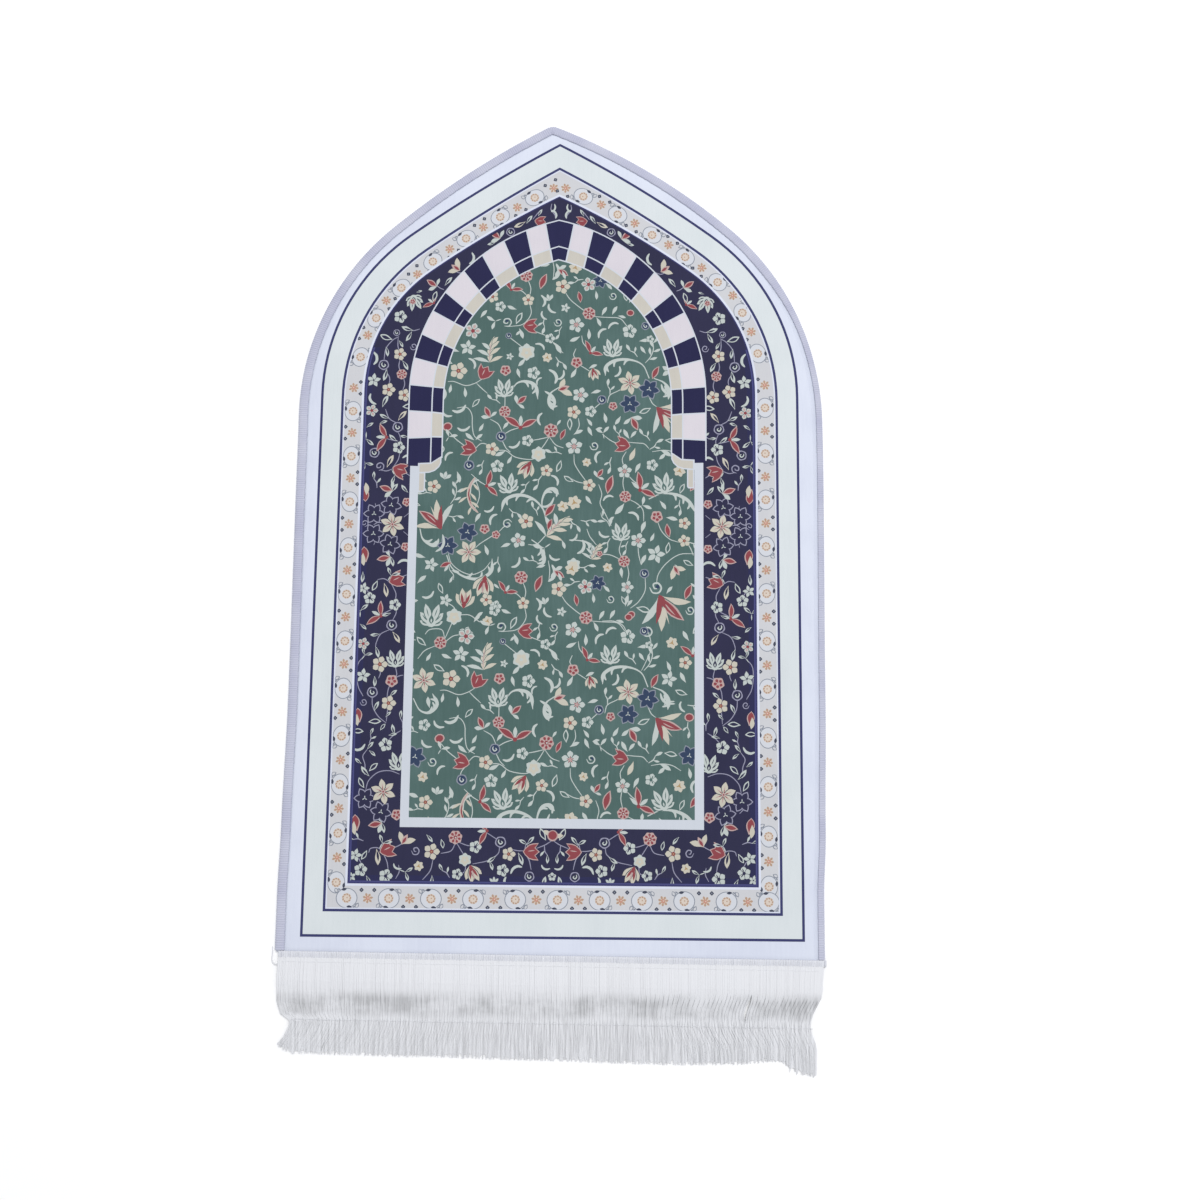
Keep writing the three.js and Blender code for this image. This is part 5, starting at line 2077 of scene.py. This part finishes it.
# The tape's section and a yarn's loop over it, as place up from the hem and height.
TAPE_SECTION = [
    (TAPE_OVER, 5.1),
    (TAPE_OVER, 5.7),
    (TAPE_OVER - 0.8, 6.0),
    (-TAPE_PAST + 1.4, 6.0),
    (-TAPE_PAST, 5.2),
    (-TAPE_PAST, 1.3),
    (-0.9, 1.3),
    (-0.9, 5.1),
]
TICK_LINE = [
    (TAPE_OVER + 0.3, 5.7),
    (TAPE_OVER - 0.6, 6.2),
    (0, 6.35),
    (-TAPE_PAST + 0.6, 6.2),
    (-TAPE_PAST - 0.6, 5.6),
]


def over_hem(x, line):
    return [(x, HEM + HEM_SLOPE * x + over, z) for over, z in line]


def tape_piece(yarn):
    """The tape over the hem, with the yarns' loops over it as fine upright ticks."""
    sections = [over_hem(x, TAPE_SECTION) for x in np.linspace(-TAPE_HALF, TAPE_HALF, 60)]
    points, faces = through_sections(sections)
    faces = flipped(faces)
    ticks = []
    for k in range(HEADING_TICKS):
        x = -TAPE_HALF + 1.2 + (2 * TAPE_HALF - 2.4) * k / (HEADING_TICKS - 1) + 0.15 * float(uneven(k))
        ticks.append(over_hem(x, TICK_LINE))
    more, more_faces = tubes(ticks, TICK_WIDE, TICK_THICK, sides=6)
    faces += [tuple(len(points) + i for i in face) for face in more_faces]
    return piece("fringe_heading", np.concatenate([points, more]), faces, [yarn])


STITCH_ROWS = [
    {"down": 9, "swing": 0.35},
    {"down": 75, "swing": 0.6},
]
CHAIN_PITCH = 3.26
LOOSE_THREAD = [
    (-321, -31, 4.5),
    (-327, -32.5, 3.2),
    (-331.5, -28, 1.4),
    (-331.2, -20, 0.9),
    (-331.6, -12.5, 0.8),
]


def stitch_rows(yarn):
    """Chain stitches across the yarns, under the heading and at the second row, and the loose
    thread at the left."""
    lines = []
    for row in STITCH_ROWS:
        down = row["down"]
        for phase in (0, math.pi):
            across = np.arange(-TAPE_HALF + 6, TAPE_HALF - 6, 0.8)
            wave = across * 2 * math.pi / CHAIN_PITCH + phase
            x = across + strand_run(across, down)
            y = HEM + HEM_SLOPE * across - down + row["swing"] * np.sin(wave)
            z = eased(YARN_HEIGHTS, "down", down, "z") + 0.15 + 0.2 * np.cos(wave)
            z = z + 0.35 * np.sin(across / 19.0 + down / 26.0) * smooth(down, 34, 60)
            lines.append(np.stack([x, y, z], 1))
    points, faces = tubes(lines, 0.6, 0.6, sides=5)
    loose = curve(LOOSE_THREAD, 6)
    taper = np.linspace(1.5, 1.0, len(loose))
    more, more_faces = tubes([loose], taper, taper, sides=5)
    faces += [tuple(len(points) + i for i in face) for face in more_faces]
    return piece("fringe_stitch_row", np.concatenate([points, more]), faces, [yarn])


def light(name, place, size, power):
    """A square white light that is turned to the middle of the mat."""
    data = bpy.data.lights.new(name, "AREA")
    data.size = size
    data.energy = power
    lamp = bpy.data.objects.new(name, data)
    lamp.location = place
    lamp.rotation_euler = (-lamp.location).to_track_quat("-Z", "Y").to_euler()
    bpy.context.collection.objects.link(lamp)


# The floor lies this far under the mat, in metres, so that the two don't flicker.
FLOOR_GAP = 0.0003


def studio():
    """A pale floor, an even white room and a soft key light from above, to the upper right."""
    mesh = bpy.data.meshes.new("floor")
    mesh.from_pydata([(-6, -6, 0), (6, -6, 0), (6, 6, 0), (-6, 6, 0)], [], [(0, 1, 2, 3)])
    floor = bpy.data.objects.new("floor", mesh)
    floor.location.z = -FLOOR_GAP
    bpy.context.collection.objects.link(floor)
    paint = bpy.data.materials.new("pale floor")
    paint.use_nodes = True
    shader = paint.node_tree.nodes["Principled BSDF"]
    shader.inputs["Base Color"].default_value = linear("#FAFAFB")
    shader.inputs["Roughness"].default_value = 0.9
    shader.inputs["Specular IOR Level"].default_value = 0.1
    mesh.materials.append(paint)
    world = bpy.data.worlds.new("white room")
    world.use_nodes = True
    world.node_tree.nodes["Background"].inputs["Color"].default_value = linear("#FCFDFF")
    world.node_tree.nodes["Background"].inputs["Strength"].default_value = 0.62
    bpy.context.scene.world = world
    light("key", (1.0, 1.6, 5.0), 2.4, 175)
    bpy.context.scene.view_settings.view_transform = "Standard"


draw_print()
shapes = on_their_grounds(shapes)
inks = [printed_velvet("velvet " + name.replace("_", " "), *INKS[name]) for name in ink_order]
backing = printed_velvet("woven back", "#D9DAE6", "#CFD1DF")
mat, border = mat_piece(inks, backing)
thread = overlock_thread()
band = band_piece(thread)
# The second colour is grey, painted on the yarn as shade in the sag and between the loose locks.
yarn = fringe_yarn("fringe yarn", "#E0E1E5", "#B8B9BC")
tape = fringe_yarn("woven heading", "#D6D8E0", "#D6D8E0")
upper, under = fringe_pieces(yarn)
heading = tape_piece(tape)
chain = stitch_rows(yarn)

for made, slot in (
    (mat, "printed_velvet"),
    (band, "overlock_thread"),
    (upper, "fringe_yarn"),
    (under, "fringe_yarn"),
    (heading, "fringe_yarn"),
    (chain, "fringe_yarn"),
):
    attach(made, "root")
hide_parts("mat")
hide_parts("edge_band")
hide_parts("fringe")

# The cloth's area, in square metres: its face inside the edge line, and its rim round it.
outline = border[:, :2]
ahead = np.roll(outline, -1, axis=0)
cloth_area = abs(np.sum(outline[:, 0] * ahead[:, 1] - ahead[:, 0] * outline[:, 1])) / 2e6
cloth_area += RIM_REACH / 1e6 * np.linalg.norm(outline - ahead, axis=1).sum()
studio()
